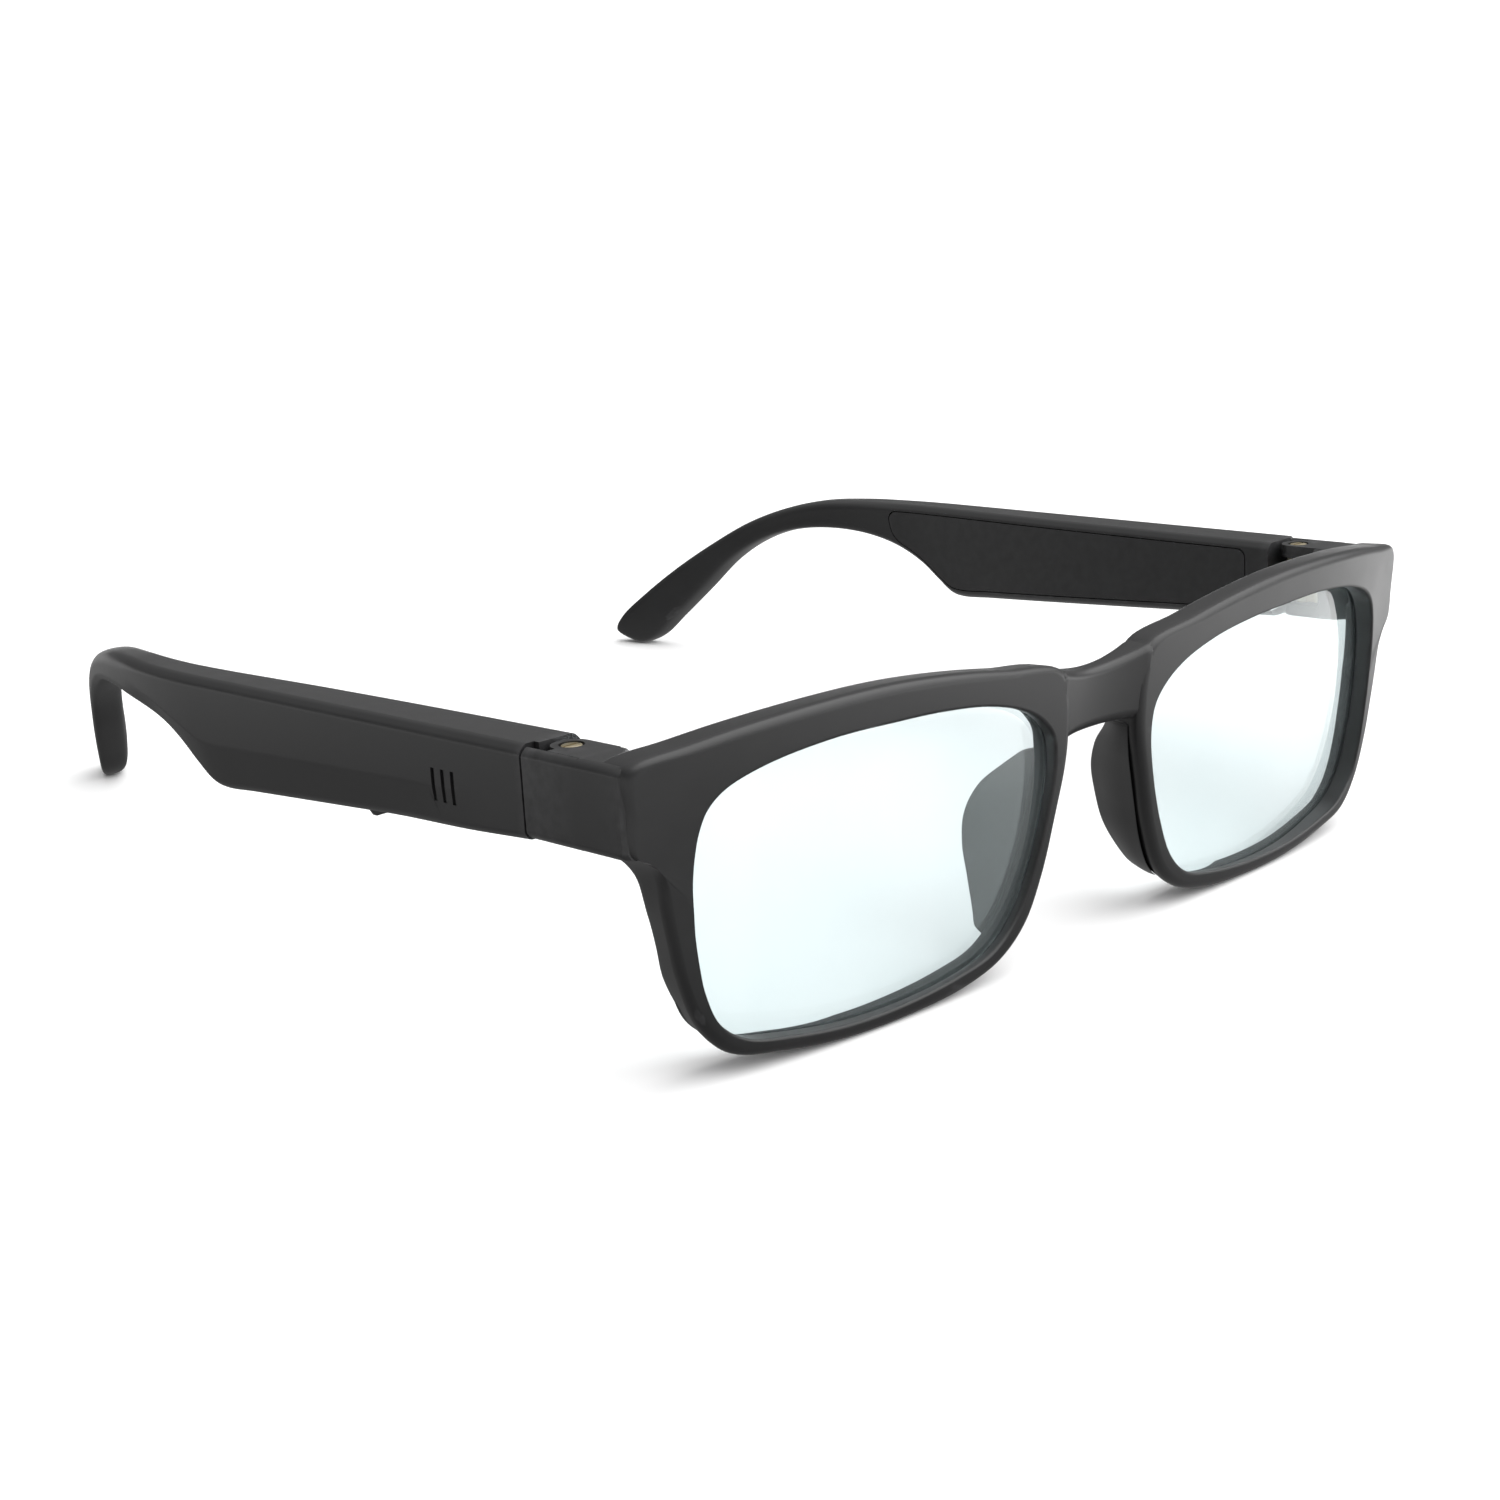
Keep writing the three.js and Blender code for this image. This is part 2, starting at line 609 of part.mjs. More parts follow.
function shell(withButton) {
  const tools = templeCuts();
  const low = bottomZ(SPEAKER_Y);
  tools.push(...slots(
    SLOT_COUNT, SLOT_PITCH, SPEAKER_Y, 0.9, SPEAKER_X - 1.3, SPEAKER_X + 1.3, low - 2, low + 3));
  CONTACT_Y.forEach((y) => {
    tools.push(post(BAY_X, y, CONTACT_R + GAP, bottomZ(y) - 2, bottomZ(y) + 4, 20));
  });
  const face = outerX(MARK_Y);
  tools.push(...slots(MARK_SLOTS, MARK_PITCH, MARK_Y, 0.6, face - 0.35, face + 1, -8.4, -4.6));
  tools.push(post(BAY_X, MIC_Y, 0.5, bottomZ(MIC_Y) - 2, bottomZ(MIC_Y) + 3, 12));
  if (withButton) {
    const z = bottomZ(BUTTON_Y);
    tools.push(block(
      BAY_X - BUTTON_WIDTH / 2 - GAP, BAY_X + BUTTON_WIDTH / 2 + GAP,
      BUTTON_Y - BUTTON_LENGTH / 2 - GAP, BUTTON_Y + BUTTON_LENGTH / 2 + GAP, z - 2, z + 4));
  }
  return cut(templeBody(), ...tools);
}

function cover() {
  const inset = COVER_LAND + GAP;
  return slab(rungs(COVER_RUNGS[0] + 0.02, COVER_RUNGS[1] - 0.06, 16, inset), coverBack, innerFace);
}

// ---------------------------------------------------------------- inside the temples

const BAY_WALL = outerX(TEMPLE_START) - WALL - GAP;

// Box in the hollow: y span, heights, and how far its two sides stand in from the outer wall.
function inBay(y0, y1, z0, z1, near, far) {
  return block(BAY_WALL - far, BAY_WALL - near, y0, y1, z0, z1);
}

function battery() {
  const ends = [
    [BATTERY_START, 0.2], [BATTERY_START + 0.8, 0], [BATTERY_END - 0.8, 0], [BATTERY_END, 0.2],
  ];
  return loft(ends.map(([y, d]) => chamfered(
    BAY_WALL - BATTERY_FAR + d, BAY_WALL - BATTERY_NEAR - d, BAY_LOW + 0.4 + d, BAY_TOP - d, 0.4,
    (x, z) => new THREE.Vector3(x, y, z))));
}

function speaker() {
  const wall = outerX(SPEAKER_Y - SPEAKER_LENGTH / 2) - WALL - GAP;
  const z0 = bottomZ(SPEAKER_Y) + SPEAKER_LIFT;
  const half = SPEAKER_LENGTH / 2;
  return loft([wall - SPEAKER_DEPTH, wall].map((x) => chamfered(
    SPEAKER_Y - half, SPEAKER_Y + half, z0, z0 + SPEAKER_HEIGHT, 1.6,
    (y, z) => new THREE.Vector3(x, y, z))));
}

function speakerMesh() {
  const z0 = bottomZ(SPEAKER_Y) + SPEAKER_LIFT - 0.75;
  const half = SLOT_COUNT * SLOT_PITCH / 2;
  return block(SPEAKER_X - 1.4, SPEAKER_X + 1.4, SPEAKER_Y - half, SPEAKER_Y + half, z0, z0 + 0.4);
}

function contact(y) {
  const z = bottomZ(y) + 0.15;
  const profile = [[0, 0], [CONTACT_R - 0.2, 0], [CONTACT_R, 0.2], [CONTACT_R, 2.1], [0, 2.1]]
    .map(([r, h]) => new THREE.Vector2(r, h));
  const turned = new THREE.LatheGeometry(profile, 20).rotateX(Math.PI / 2);
  return facingOut(mergedBare(turned)).translate(BAY_X, y, z);
}

function microphone() {
  const z = bottomZ(MIC_Y) + BOTTOM_WALL + GAP;
  return block(BAY_X - 1.1, BAY_X + 1.1, MIC_Y - 1.4, MIC_Y + 1.4, z, z + 1);
}

// Key with a slanted nub below the temple and a flange that holds it in from above.
function button() {
  const z = bottomZ(BUTTON_Y);
  const half = BUTTON_LENGTH / 2;
  const side = [
    [-half, z + BOTTOM_WALL], [-half, z + 0.3], [-half + 0.3, z], [0.3, z - BUTTON_PROUD],
    [1, z - BUTTON_PROUD], [half - 0.3, z], [half, z + 0.3], [half, z + BOTTOM_WALL],
    [half + 0.5, z + BOTTOM_WALL + 0.25], [half + 0.5, z + BOTTOM_WALL + 0.8],
    [-half - 0.5, z + BOTTOM_WALL + 0.8], [-half - 0.5, z + BOTTOM_WALL + 0.25],
  ].map(([y, h]) => new THREE.Vector2(y, h));
  const options = { depth: BUTTON_WIDTH, bevelEnabled: false };
  const key = new THREE.ExtrudeGeometry(new THREE.Shape(side), options);
  const yzx = new THREE.Matrix4().makeBasis(
    new THREE.Vector3(0, 1, 0), new THREE.Vector3(0, 0, 1), new THREE.Vector3(1, 0, 0));
  key.applyMatrix4(yzx).translate(BAY_X - BUTTON_WIDTH / 2, BUTTON_Y, 0);
  return facingOut(mergedBare(key));
}

function buttonSwitch() {
  const z = bottomZ(BUTTON_Y) + BOTTOM_WALL + 0.8 + BUTTON_TRAVEL + 0.1;
  return block(BAY_X - 1.4, BAY_X + 1.4, BUTTON_Y - 1.5, BUTTON_Y + 1.5, z, z + 0.6);
}

// ---------------------------------------------------------------- assembly

const glasses = new THREE.Group();

function add(name, geometry, material) {
  const mesh = new THREE.Mesh(geometry, material);
  mesh.name = name;
  glasses.add(mesh);
  return mesh;
}

// Both sides of a piece drawn for the wearer's left.
function addPair(name, geometry, material) {
  add(`${name}_left`, geometry, material);
  add(`${name}_right`, mirrored(geometry), material);
}

const frame = add('front_frame', frontFrame(), BLACK);
addPair('lens', lens(), CLEAR);
addPair('nose_pad', nosePad(), SOFT_BLACK);
addPair('hinge_front_leaf', hingeFrontLeaf(), BRASS);
addPair('hinge_rear_leaf', hingeRearLeaf(), BRASS);
addPair('hinge_pin', hingePin(), BRASS);

const arm = add('temple_shell_left', shell(false), BLACK);
add('temple_shell_right', mirrored(shell(true)), BLACK);
addPair('temple_cover', cover(), SOFT_BLACK);
addPair('touch_sensor', inBay(25.6, 34.8, BAY_LOW, BAY_TOP, 0, 0.3), GOLD);
addPair('circuit_board', inBay(26, BATTERY_END, BAY_LOW, BAY_TOP, 0.55, 1.25), BOARD);
addPair('bluetooth_chip', inBay(28, 32, BAY_LOW + 1, BAY_TOP - 1, 1.5, 2.5), CHIP);
addPair('battery', battery(), CELL);
addPair('speaker', speaker(), STEEL);
addPair('speaker_mesh', speakerMesh(), FOAM);
addPair('microphone', microphone(), STEEL);
CONTACT_Y.forEach((y, i) => addPair(`charge_contact_${i ? 'rear' : 'front'}`, contact(y), GOLD));
add('power_button_right', mirrored(button()), SOFT_BLACK);
add('button_switch_right', mirrored(buttonSwitch()), STEEL);

// ---------------------------------------------------------------- setting down

// Tilt the glasses back until the rims and the temple tips stand on one level.
function lowest(mesh, pitch) {
  const p = mesh.geometry.attributes.position;
  let low = Infinity;
  for (let i = 0; i < p.count; i++) {
    low = Math.min(low, p.getZ(i) * Math.cos(pitch) - p.getY(i) * Math.sin(pitch));
  }
  return low;
}

let [pitchLow, pitchHigh] = [0, Math.PI / 12];
for (let i = 0; i < 40; i++) {
  const pitch = (pitchLow + pitchHigh) / 2;
  if (lowest(arm, pitch) > lowest(frame, pitch)) pitchLow = pitch;
  else pitchHigh = pitch;
}
glasses.rotation.x = -pitchLow;
const extent = new THREE.Box3().setFromObject(glasses, true);
glasses.position.set(0, -(extent.min.y + extent.max.y) / 2, -extent.min.z);

export default glasses;
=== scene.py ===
import json
import math

import bmesh
import bpy
from mathutils import Matrix, Vector


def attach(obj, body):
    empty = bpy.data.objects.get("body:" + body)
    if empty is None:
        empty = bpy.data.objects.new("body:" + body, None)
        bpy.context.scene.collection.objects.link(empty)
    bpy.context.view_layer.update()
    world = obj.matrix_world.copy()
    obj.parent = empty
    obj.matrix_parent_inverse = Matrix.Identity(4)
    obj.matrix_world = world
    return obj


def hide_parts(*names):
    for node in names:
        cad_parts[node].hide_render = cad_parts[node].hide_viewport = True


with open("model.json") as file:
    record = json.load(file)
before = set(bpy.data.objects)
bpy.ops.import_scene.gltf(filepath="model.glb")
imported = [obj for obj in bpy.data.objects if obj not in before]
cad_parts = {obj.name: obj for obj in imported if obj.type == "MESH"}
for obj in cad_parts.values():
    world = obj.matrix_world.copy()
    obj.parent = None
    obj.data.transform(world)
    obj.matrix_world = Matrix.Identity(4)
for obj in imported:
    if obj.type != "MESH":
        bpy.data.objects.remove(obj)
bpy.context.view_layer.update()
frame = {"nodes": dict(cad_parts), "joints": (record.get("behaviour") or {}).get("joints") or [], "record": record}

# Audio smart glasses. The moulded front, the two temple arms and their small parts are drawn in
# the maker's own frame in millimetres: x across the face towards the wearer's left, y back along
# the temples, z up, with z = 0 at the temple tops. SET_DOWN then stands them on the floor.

SIDES = ("left", "right")

# ------------------------------------------------------------------ driving dimensions, mm

HALF_WIDTH = 72
GAP = 0.3                  # left round every fitted or moving piece

# Face of the front, then the rims: depth, and how far their backs stand in from their fronts.
BOW = 2.15e-7
LEAN = 0.095
RIM_DEPTH_NOSE = 4.7
RIM_DEPTH_GAIN = 0.016
RIM_TAPER_TOP = 0.2
RIM_TAPER_SIDE = 2.1
RIM_TAPER_NOSE = 1.2
RIM_BACK_LEAST = 0.95
RIM_STEPS = 260
TAPER_REACH = 20           # the taper is averaged over this many sections each way

LENS_X = 36.9
LENS_Z = -19.2
LENS_RADIUS = 132
LENS_TURN = 0.0873
LENS_Y = -4.75
LENS_THICK = 1.7
GROOVE_DEPTH = 0.9
GROOVE_SLACK = 0.25

BRIDGE_HALF = 8.1
BRIDGE_RUN = 11
BRIDGE_TOP = -1.75
BRIDGE_DIP = 1.3
BRIDGE_LOW = -10.7
BRIDGE_SCOOP = 1.5
BRIDGE_BACK = -0.6

ENDPIECE_TOP = -0.3
ENDPIECE_LOW = -10.3
ENDPIECE_END = 16.4
BLOCK_END = 9
WALL_X = 70.2
HINGE_Z = -5.3
HINGE = Vector((67.6, 13.2, HINGE_Z))
KNUCKLE_R = 2.3
PLATE = 1.7
PIN_R = 0.8
PIN_HEAD_R = 1.2
PIN_HEAD = 0.7
PIN_SLACK = 0.22

TEMPLE_START = 16.7
TEMPLE_INNER_START = 15.9
TEMPLE_SPLAY = 0.0133
EAR_BEND_START = 80
EAR_BEND = 0.006
BOX_LOW = -10.5
BOX_FALL = 0.058
WALL = 1.5
BOTTOM_WALL = 1.8
COVER_THICK = 1.2
COVER_LAND = 1.1
SEAM = 0.14
PANEL_CORNER = 1.3
PANEL_TAIL = 1.9
FACET_START = 24
FACET_END = 44
FACET_HEIGHT = 0.58
FACET_DEPTH = 1.1
TONGUE_TOP = HINGE_Z + 1.7
TONGUE_LOW = HINGE_Z - 1.4
TONGUE_HALF = 0.8
LEAF_END = 24.6

BAY_X = 68.2
BUTTON_Y = 47
BUTTON_LENGTH = 5.2
BUTTON_WIDTH = 2.4
BUTTON_PROUD = 1
CONTACT_Y = (26, 30.4)
CONTACT_R = 1.1
SPEAKER_X = 69.2
SPEAKER_Y = 66
SPEAKER_SLOTS = 4
SPEAKER_PITCH = 2.2
SPEAKER_SLOT = 0.9
SPEAKER_HALF = 1.3
MARK_Y = 30.2
MARK_SLOTS = 3
MARK_PITCH = 1.7
MARK_WIDTH = 0.6
MARK_DEPTH = 0.35
MARK_LOW = -8.4
MARK_TOP = -4.6
MIC_Y = 23
MIC_R = 0.5

# Cutters: how far they run past the floor of the temple, and past everything.
CUT_BELOW = 2
CUT_ABOVE = 2.6
FAR_BELOW = -20
FAR_ABOVE = 5

# ------------------------------------------------------------------ from the maker's frame

left_fold = next(j for j in frame["joints"] if j["name"] == "temple_left_fold")
PITCH = math.atan2(left_fold["axis"][1], left_fold["axis"][2])
TILT = Matrix.Rotation(-PITCH, 4, "X") @ Matrix.Scale(0.001, 4)
SET_DOWN = Matrix.Translation(Vector(left_fold["pos_m"]) - TILT @ HINGE) @ TILT


def smooth(a, b, v):
    t = min(1, max(0, (v - a) / (b - a)))
    return t * t * (3 - 2 * t)


def even(start, end, steps):
    return [start + (end - start) * i / (steps - 1) for i in range(steps)]


def dense_ends(start, end, steps):
    shares = [(1 - math.cos(math.pi * i / (steps - 1))) / 2 for i in range(steps)]
    return [start + (end - start) * share for share in shares]


def spline(points, places, closed=False):
    """Points of a centripetal curve through `points`. A whole place is one of the given points."""
    n = len(points)
    spans = n if closed else n - 1
    out = []
    for at in places:
        k = min(int(at), spans - 1)
        w = at - k
        p1 = points[k % n]
        p2 = points[(k + 1) % n]
        p0 = points[(k - 1) % n] if closed or k > 0 else 2 * p1 - p2
        p3 = points[(k + 2) % n] if closed or k + 2 < n else 2 * p2 - p1
        d0, d1, d2 = (max((b - a).length, 1e-6) ** 0.5 for a, b in ((p0, p1), (p1, p2), (p2, p3)))
        m1 = ((p1 - p0) / d0 - (p2 - p0) / (d0 + d1) + (p2 - p1) / d1) * d1
        m2 = ((p2 - p1) / d1 - (p3 - p1) / (d1 + d2) + (p3 - p2) / d2) * d1
        c2 = -3 * p1 + 3 * p2 - 2 * m1 - m2
        c3 = 2 * p1 - 2 * p2 + m1 + m2
        out.append(p1 + m1 * w + c2 * w ** 2 + c3 * w ** 3)
    return out


# ------------------------------------------------------------------ mesh tools

def new_object(name, bm):
    mesh = bpy.data.meshes.new(name)
    bm.to_mesh(mesh)
    bm.free()
    obj = bpy.data.objects.new(name, mesh)
    bpy.context.scene.collection.objects.link(obj)
    return obj


def rounded(ring, radii, steps=4):
    """The ring with each corner turned into a short arc of about that radius."""
    out = []
    for i, corner in enumerate(ring):
        before = ring[i - 1] - corner
        after = ring[(i + 1) % len(ring)] - corner
        r = radii[i] if isinstance(radii, (list, tuple)) else radii
        a = corner + before * min(0.48, r / max(before.length, 1e-6))
        b = corner + after * min(0.48, r / max(after.length, 1e-6))
        for k in range(steps + 1):
            t = k / steps
            out.append(a * (1 - t) ** 2 + corner * 2 * t * (1 - t) + b * t ** 2)
    return out


def add_loft(bm, rings, closed=False):
    verts = [[bm.verts.new(p) for p in ring] for ring in rings]
    width = len(rings[0])
    for i in range(len(rings) if closed else len(rings) - 1):
        a, b = verts[i], verts[(i + 1) % len(rings)]
        for j in range(width):
            k = (j + 1) % width
            bm.faces.new((a[j], b[j], b[k], a[k]))
    if not closed:
        bm.faces.new(verts[0])
        bm.faces.new(list(reversed(verts[-1])))
    return verts


def loft(name, rings, closed=False):
    bm = bmesh.new()
    add_loft(bm, rings, closed)
    bmesh.ops.recalc_face_normals(bm, faces=bm.faces)
    return new_object(name, bm)


def box(x0, x1, y0, y1, z0, z1):
    """Two rings of a plain box, for cutters."""
    plan = ((x0, y0), (x1, y0), (x1, y1), (x0, y1))
    return [[Vector((x, y, z)) for x, y in plan] for z in (z0, z1)]


def post(x, y, r, z0, z1, sides=48):
    turns = [math.tau * i / sides for i in range(sides)]
    ring = [(x + r * math.cos(a), y + r * math.sin(a)) for a in turns]
    return [[Vector((px, py, z)) for px, py in ring] for z in (z0, z1)]


def solids(name, lofts):
    """One object that holds several closed lofts."""
    bm = bmesh.new()
    for rings in lofts:
        add_loft(bm, rings)
    bmesh.ops.recalc_face_normals(bm, faces=bm.faces)
    return new_object(name, bm)


def settle(obj):
    """Makes the modifiers' result the mesh."""
    graph = bpy.context.evaluated_depsgraph_get()
    mesh = bpy.data.meshes.new_from_object(obj.evaluated_get(graph))
    obj.modifiers.clear()
    obj.data = mesh
    return obj


def combined(obj, tool, operation):
    change = obj.modifiers.new("change", "BOOLEAN")
    change.operation = operation
    change.solver = "EXACT"
    change.object = tool
    settle(obj)
    bpy.data.objects.remove(tool)
    return obj


def cut(obj, tool):
    return combined(obj, tool, "DIFFERENCE")


SHARP_EDGE = 0.6


def softened(obj, width, segments=3):
    """Rounds the sharp edges of a small part."""
    edge = obj.modifiers.new("edge", "BEVEL")
    edge.width = width
    edge.segments = segments
    edge.limit_method = "ANGLE"
    edge.angle_limit = SHARP_EDGE
    return settle(obj)


def mirror_copy(obj, name):
    copy = obj.copy()
    copy.data = obj.data.copy()
    copy.name = name
    bpy.context.scene.collection.objects.link(copy)
    copy.data.transform(Matrix.Scale(-1, 4, Vector((1, 0, 0))))
    copy.data.flip_normals()
    return copy


def fit(obj, body, node, material, sharp=0.6):
    """Sets a piece down in the frame, shades it, gives it its body and its finish, and hides the imported part it
    stands for.
    """
    obj.data.transform(SET_DOWN)
    obj.data.shade_smooth()
    obj.data.set_sharp_from_angle(angle=sharp)
    even_out = obj.modifiers.new("even_shading", "WEIGHTED_NORMAL")
    even_out.keep_sharp = True
    settle(obj)
    obj.data.materials.clear()
    obj.data.materials.append(material)
    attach(obj, body)
    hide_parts(node)
    return obj


# ------------------------------------------------------------------ materials

def group(name, inputs, outputs, build):
    """Shader node group: inputs {name: default}, outputs {name: kind}; build(tree) fills it."""
    tree = bpy.data.node_groups.new(name, "ShaderNodeTree")
    for key, value in inputs.items():
        socket = tree.interface.new_socket(key, in_out="INPUT", socket_type="NodeSocketFloat")
        socket.default_value = value
    for key, kind in outputs.items():
        tree.interface.new_socket(key, in_out="OUTPUT", socket_type=kind)
    build(tree)
    return tree


class Nodes:
    """Short hand for placing and linking nodes in one tree."""

    def __init__(self, tree):
        self.tree = tree
        self.count = 0

    def add(self, kind, inputs=None, **settings):
        node = self.tree.nodes.new(kind)
        node.location = (200 * self.count, 0)
        self.count += 1
        for key, value in settings.items():
            setattr(node, key, value)
        for key, value in (inputs or {}).items():
            self.put(value, node.inputs[key])
        return node

    def put(self, value, socket):
        if isinstance(value, bpy.types.NodeSocket):
            self.tree.links.new(value, socket)
        else:
            socket.default_value = value

    def math(self, operation, a, b=0.0):
        return self.add("ShaderNodeMath", {0: a, 1: b}, operation=operation).outputs[0]

    def span(self, value, low, high, to_low=0.0, to_high=1.0):
        inputs = {"Value": value, "From Min": low, "From Max": high}
        inputs |= {"To Min": to_low, "To Max": to_high}
        return self.add("ShaderNodeMapRange", inputs).outputs[0]

    def blend(self, share, a, b):
        node = self.add("ShaderNodeMix", data_type="RGBA")
        self.put(share, node.inputs[0])
        self.put(a, node.inputs[6])
        self.put(b, node.inputs[7])
        return node.outputs[2]

    def noise(self, vector, scale, detail=2.0):
        inputs = {"Vector": vector, "Scale": scale, "Detail": detail}
        return self.add("ShaderNodeTexNoise", inputs).outputs[0]

    def looked_at(self):
        """1 for what is seen straight on or through the lenses, 0 for light thrown on the glasses."""
        path = self.add("ShaderNodeLightPath").outputs
        return self.math("MAXIMUM", path["Is Camera Ray"], path["Is Transmission Ray"])

    def place(self):
        return self.add("ShaderNodeTexCoord").outputs["Object"]

    def stretched(self, vector, x, y, z):
        return self.add("ShaderNodeMapping", {"Vector": vector, "Scale": (x, y, z)}).outputs[0]


def build_moulded_skin(tree):
    n = Nodes(tree)
    inputs = n.add("NodeGroupInput").outputs
    spark = n.noise(n.place(), inputs["Grain"], 3.0)
    cloud = n.noise(n.place(), 90.0, 2.0)
    touch = n.noise(n.place(), 260.0, 4.0)
    mottle = n.math("ADD", n.math("MULTIPLY", cloud, 0.6), n.math("MULTIPLY", touch, 0.4))
    cells = {"Vector": n.place(), "Scale": inputs["Grain"]}
    fine = n.add("ShaderNodeTexVoronoi", cells).outputs["Distance"]
    height = n.math("ADD", n.math("MULTIPLY", spark, 0.7), n.math("MULTIPLY", fine, 0.3))
    n.add("NodeGroupOutput", {"Height": height, "Mottle": n.span(mottle, 0.3, 0.7)})


# Mask of sharp edges, from pointiness broken up by noise. The materials paint a highlight there by lightening the
# colour, and make the edges a little less rough.
def build_edge_highlight(tree):
    n = Nodes(tree)
    inputs = n.add("NodeGroupInput").outputs
    ridge = n.add("ShaderNodeNewGeometry").outputs["Pointiness"]
    broken = n.noise(n.place(), 700.0, 3.0)
    low = n.math("ADD", 0.5, inputs["Width"])
    edge = n.span(ridge, low, n.math("ADD", low, 0.06))
    n.add("NodeGroupOutput", {"Highlight": n.math("MULTIPLY", edge, n.span(broken, 0.3, 0.65))})


def build_brushed(tree):
    n = Nodes(tree)
    inputs = n.add("NodeGroupInput").outputs
    lines = n.noise(n.stretched(n.place(), 1.0, 1.0, 0.06), inputs["Fineness"], 4.0)
    spots = n.noise(n.place(), 1500.0, 2.0)
    n.add("NodeGroupOutput", {"Lines": lines, "Spots": n.span(spots, 0.35, 0.7)})


FLOAT = "NodeSocketFloat"
SKIN = group("moulded_skin", {"Grain": 5000.0}, {"Height": FLOAT, "Mottle": FLOAT}, build_moulded_skin)
EDGES = group("edge_highlight", {"Width": 0.03}, {"Highlight": FLOAT}, build_edge_highlight)
BRUSHED = group("brushed_lines", {"Fineness": 6000.0}, {"Lines": FLOAT, "Spots": FLOAT}, build_brushed)


def new_material(name, **plain):
    """A material with its Principled shader; plain values are set on the shader's own sockets."""
    material = bpy.data.materials.new(name)
    material.use_nodes = True
    shader = material.node_tree.nodes["Principled BSDF"]
    for key, value in plain.items():
        shader.inputs[key.replace("_", " ").title().replace("Ior", "IOR")].default_value = value
    return material, Nodes(material.node_tree), shader


def use(n, tree, **inputs):
    node = n.add("ShaderNodeGroup", node_tree=tree)
    for key, value in inputs.items():
        node.inputs[key].default_value = value
    return node.outputs


def bump(n, shader, height, strength, distance):
    inputs = {"Height": height, "Strength": strength, "Distance": distance}
    n.put(n.add("ShaderNodeBump", inputs).outputs[0], shader.inputs["Normal"])


def moulded_plastic(name, dark, light, rough_low, rough_high, grain, relief, highlight_width=0.02):
    material, n, shader = new_material(name, ior=1.5)
    skin = use(n, SKIN, Grain=grain)
    edges = use(n, EDGES, Width=highlight_width)
    tone = n.blend(skin["Mottle"], dark, light)
    # Painted highlight: the colour is lighter along sharp edges.
    edge_highlighted = n.blend(n.math("MULTIPLY", edges["Highlight"], 0.35), tone, (0.075, 0.075, 0.078, 1))
    n.put(edge_highlighted, shader.inputs["Base Color"])
    rough = n.span(skin["Mottle"], 0, 1, rough_low, rough_high)
    polished = n.math("SUBTRACT", rough, n.math("MULTIPLY", edges["Highlight"], 0.06))
    n.put(polished, shader.inputs["Roughness"])
    bump(n, shader, skin["Height"], relief, 0.00003)
    return material


def clear_lens():
    material, n, shader = new_material("hard_coated_lens", ior=1.5, transmission_weight=0.96)
    smear = n.noise(n.stretched(n.place(), 1.0, 1.0, 0.4), 60.0, 4.0)
    tint = n.blend(n.span(smear, 0.4, 0.65), (0.72, 0.805, 0.815, 1), (0.75, 0.825, 0.835, 1))
    n.put(tint, shader.inputs["Base Color"])
    n.put(n.span(smear, 0.35, 0.75, 0.0, 0.012), shader.inputs["Roughness"])
    return material


def brushed_metal(name, dark, light, rough_low, rough_high):
    material, n, shader = new_material(name, metallic=1.0)
    brush = use(n, BRUSHED)
    edges = use(n, EDGES, Width=0.02)
    tone = n.blend(brush["Lines"], dark, light)
    # Painted highlight: the colour turns pale along sharp edges.
    edge_highlighted = n.blend(n.math("MULTIPLY", edges["Highlight"], 0.5), tone, (0.9, 0.88, 0.8, 1))
    n.put(edge_highlighted, shader.inputs["Base Color"])
    n.put(n.span(brush["Spots"], 0, 1, rough_low, rough_high), shader.inputs["Roughness"])
    bump(n, shader, brush["Lines"], 0.15, 0.00002)
    return material


def circuit_board():
    material, n, shader = new_material("solder_masked_board", coat_weight=0.4)
    place = n.place()
    cells = n.add("ShaderNodeTexBrick", {"Vector": place, "Scale": 700.0, "Mortar Size": 0.06})
    traces = cells.outputs["Fac"]
    pads = n.add("ShaderNodeTexVoronoi", {"Vector": place, "Scale": 900.0}).outputs["Distance"]
    pad = n.span(pads, 0.18, 0.14)
    mask = n.blend(traces, (0.012, 0.11, 0.05, 1), (0.03, 0.2, 0.09, 1))
    n.put(n.blend(pad, mask, (0.75, 0.6, 0.25, 1)), shader.inputs["Base Color"])
    n.put(n.span(pad, 0, 1, 0.35, 0.2), shader.inputs["Roughness"])
    bump(n, shader, traces, 0.4, 0.00004)
    return material


def pouch_foil():
    material, n, shader = new_material("pouch_foil", metallic=0.9)
    creases = n.noise(n.place(), 500.0, 5.0)
    n.put(n.blend(creases, (0.4, 0.41, 0.43, 1), (0.66, 0.67, 0.7, 1)), shader.inputs["Base Color"])
    n.put(n.span(creases, 0.3, 0.7, 0.25, 0.45), shader.inputs["Roughness"])
    bump(n, shader, creases, 0.5, 0.0002)
    return material


def chip_case():
    material, n, shader = new_material("chip_case")
    skin = use(n, SKIN, Grain=9000.0)
    tone = n.blend(skin["Mottle"], (0.012, 0.012, 0.013, 1), (0.022, 0.022, 0.024, 1))
    n.put(tone, shader.inputs["Base Color"])
    n.put(n.span(skin["Height"], 0, 1, 0.4, 0.6), shader.inputs["Roughness"])
    bump(n, shader, skin["Height"], 0.3, 0.00003)
    return material


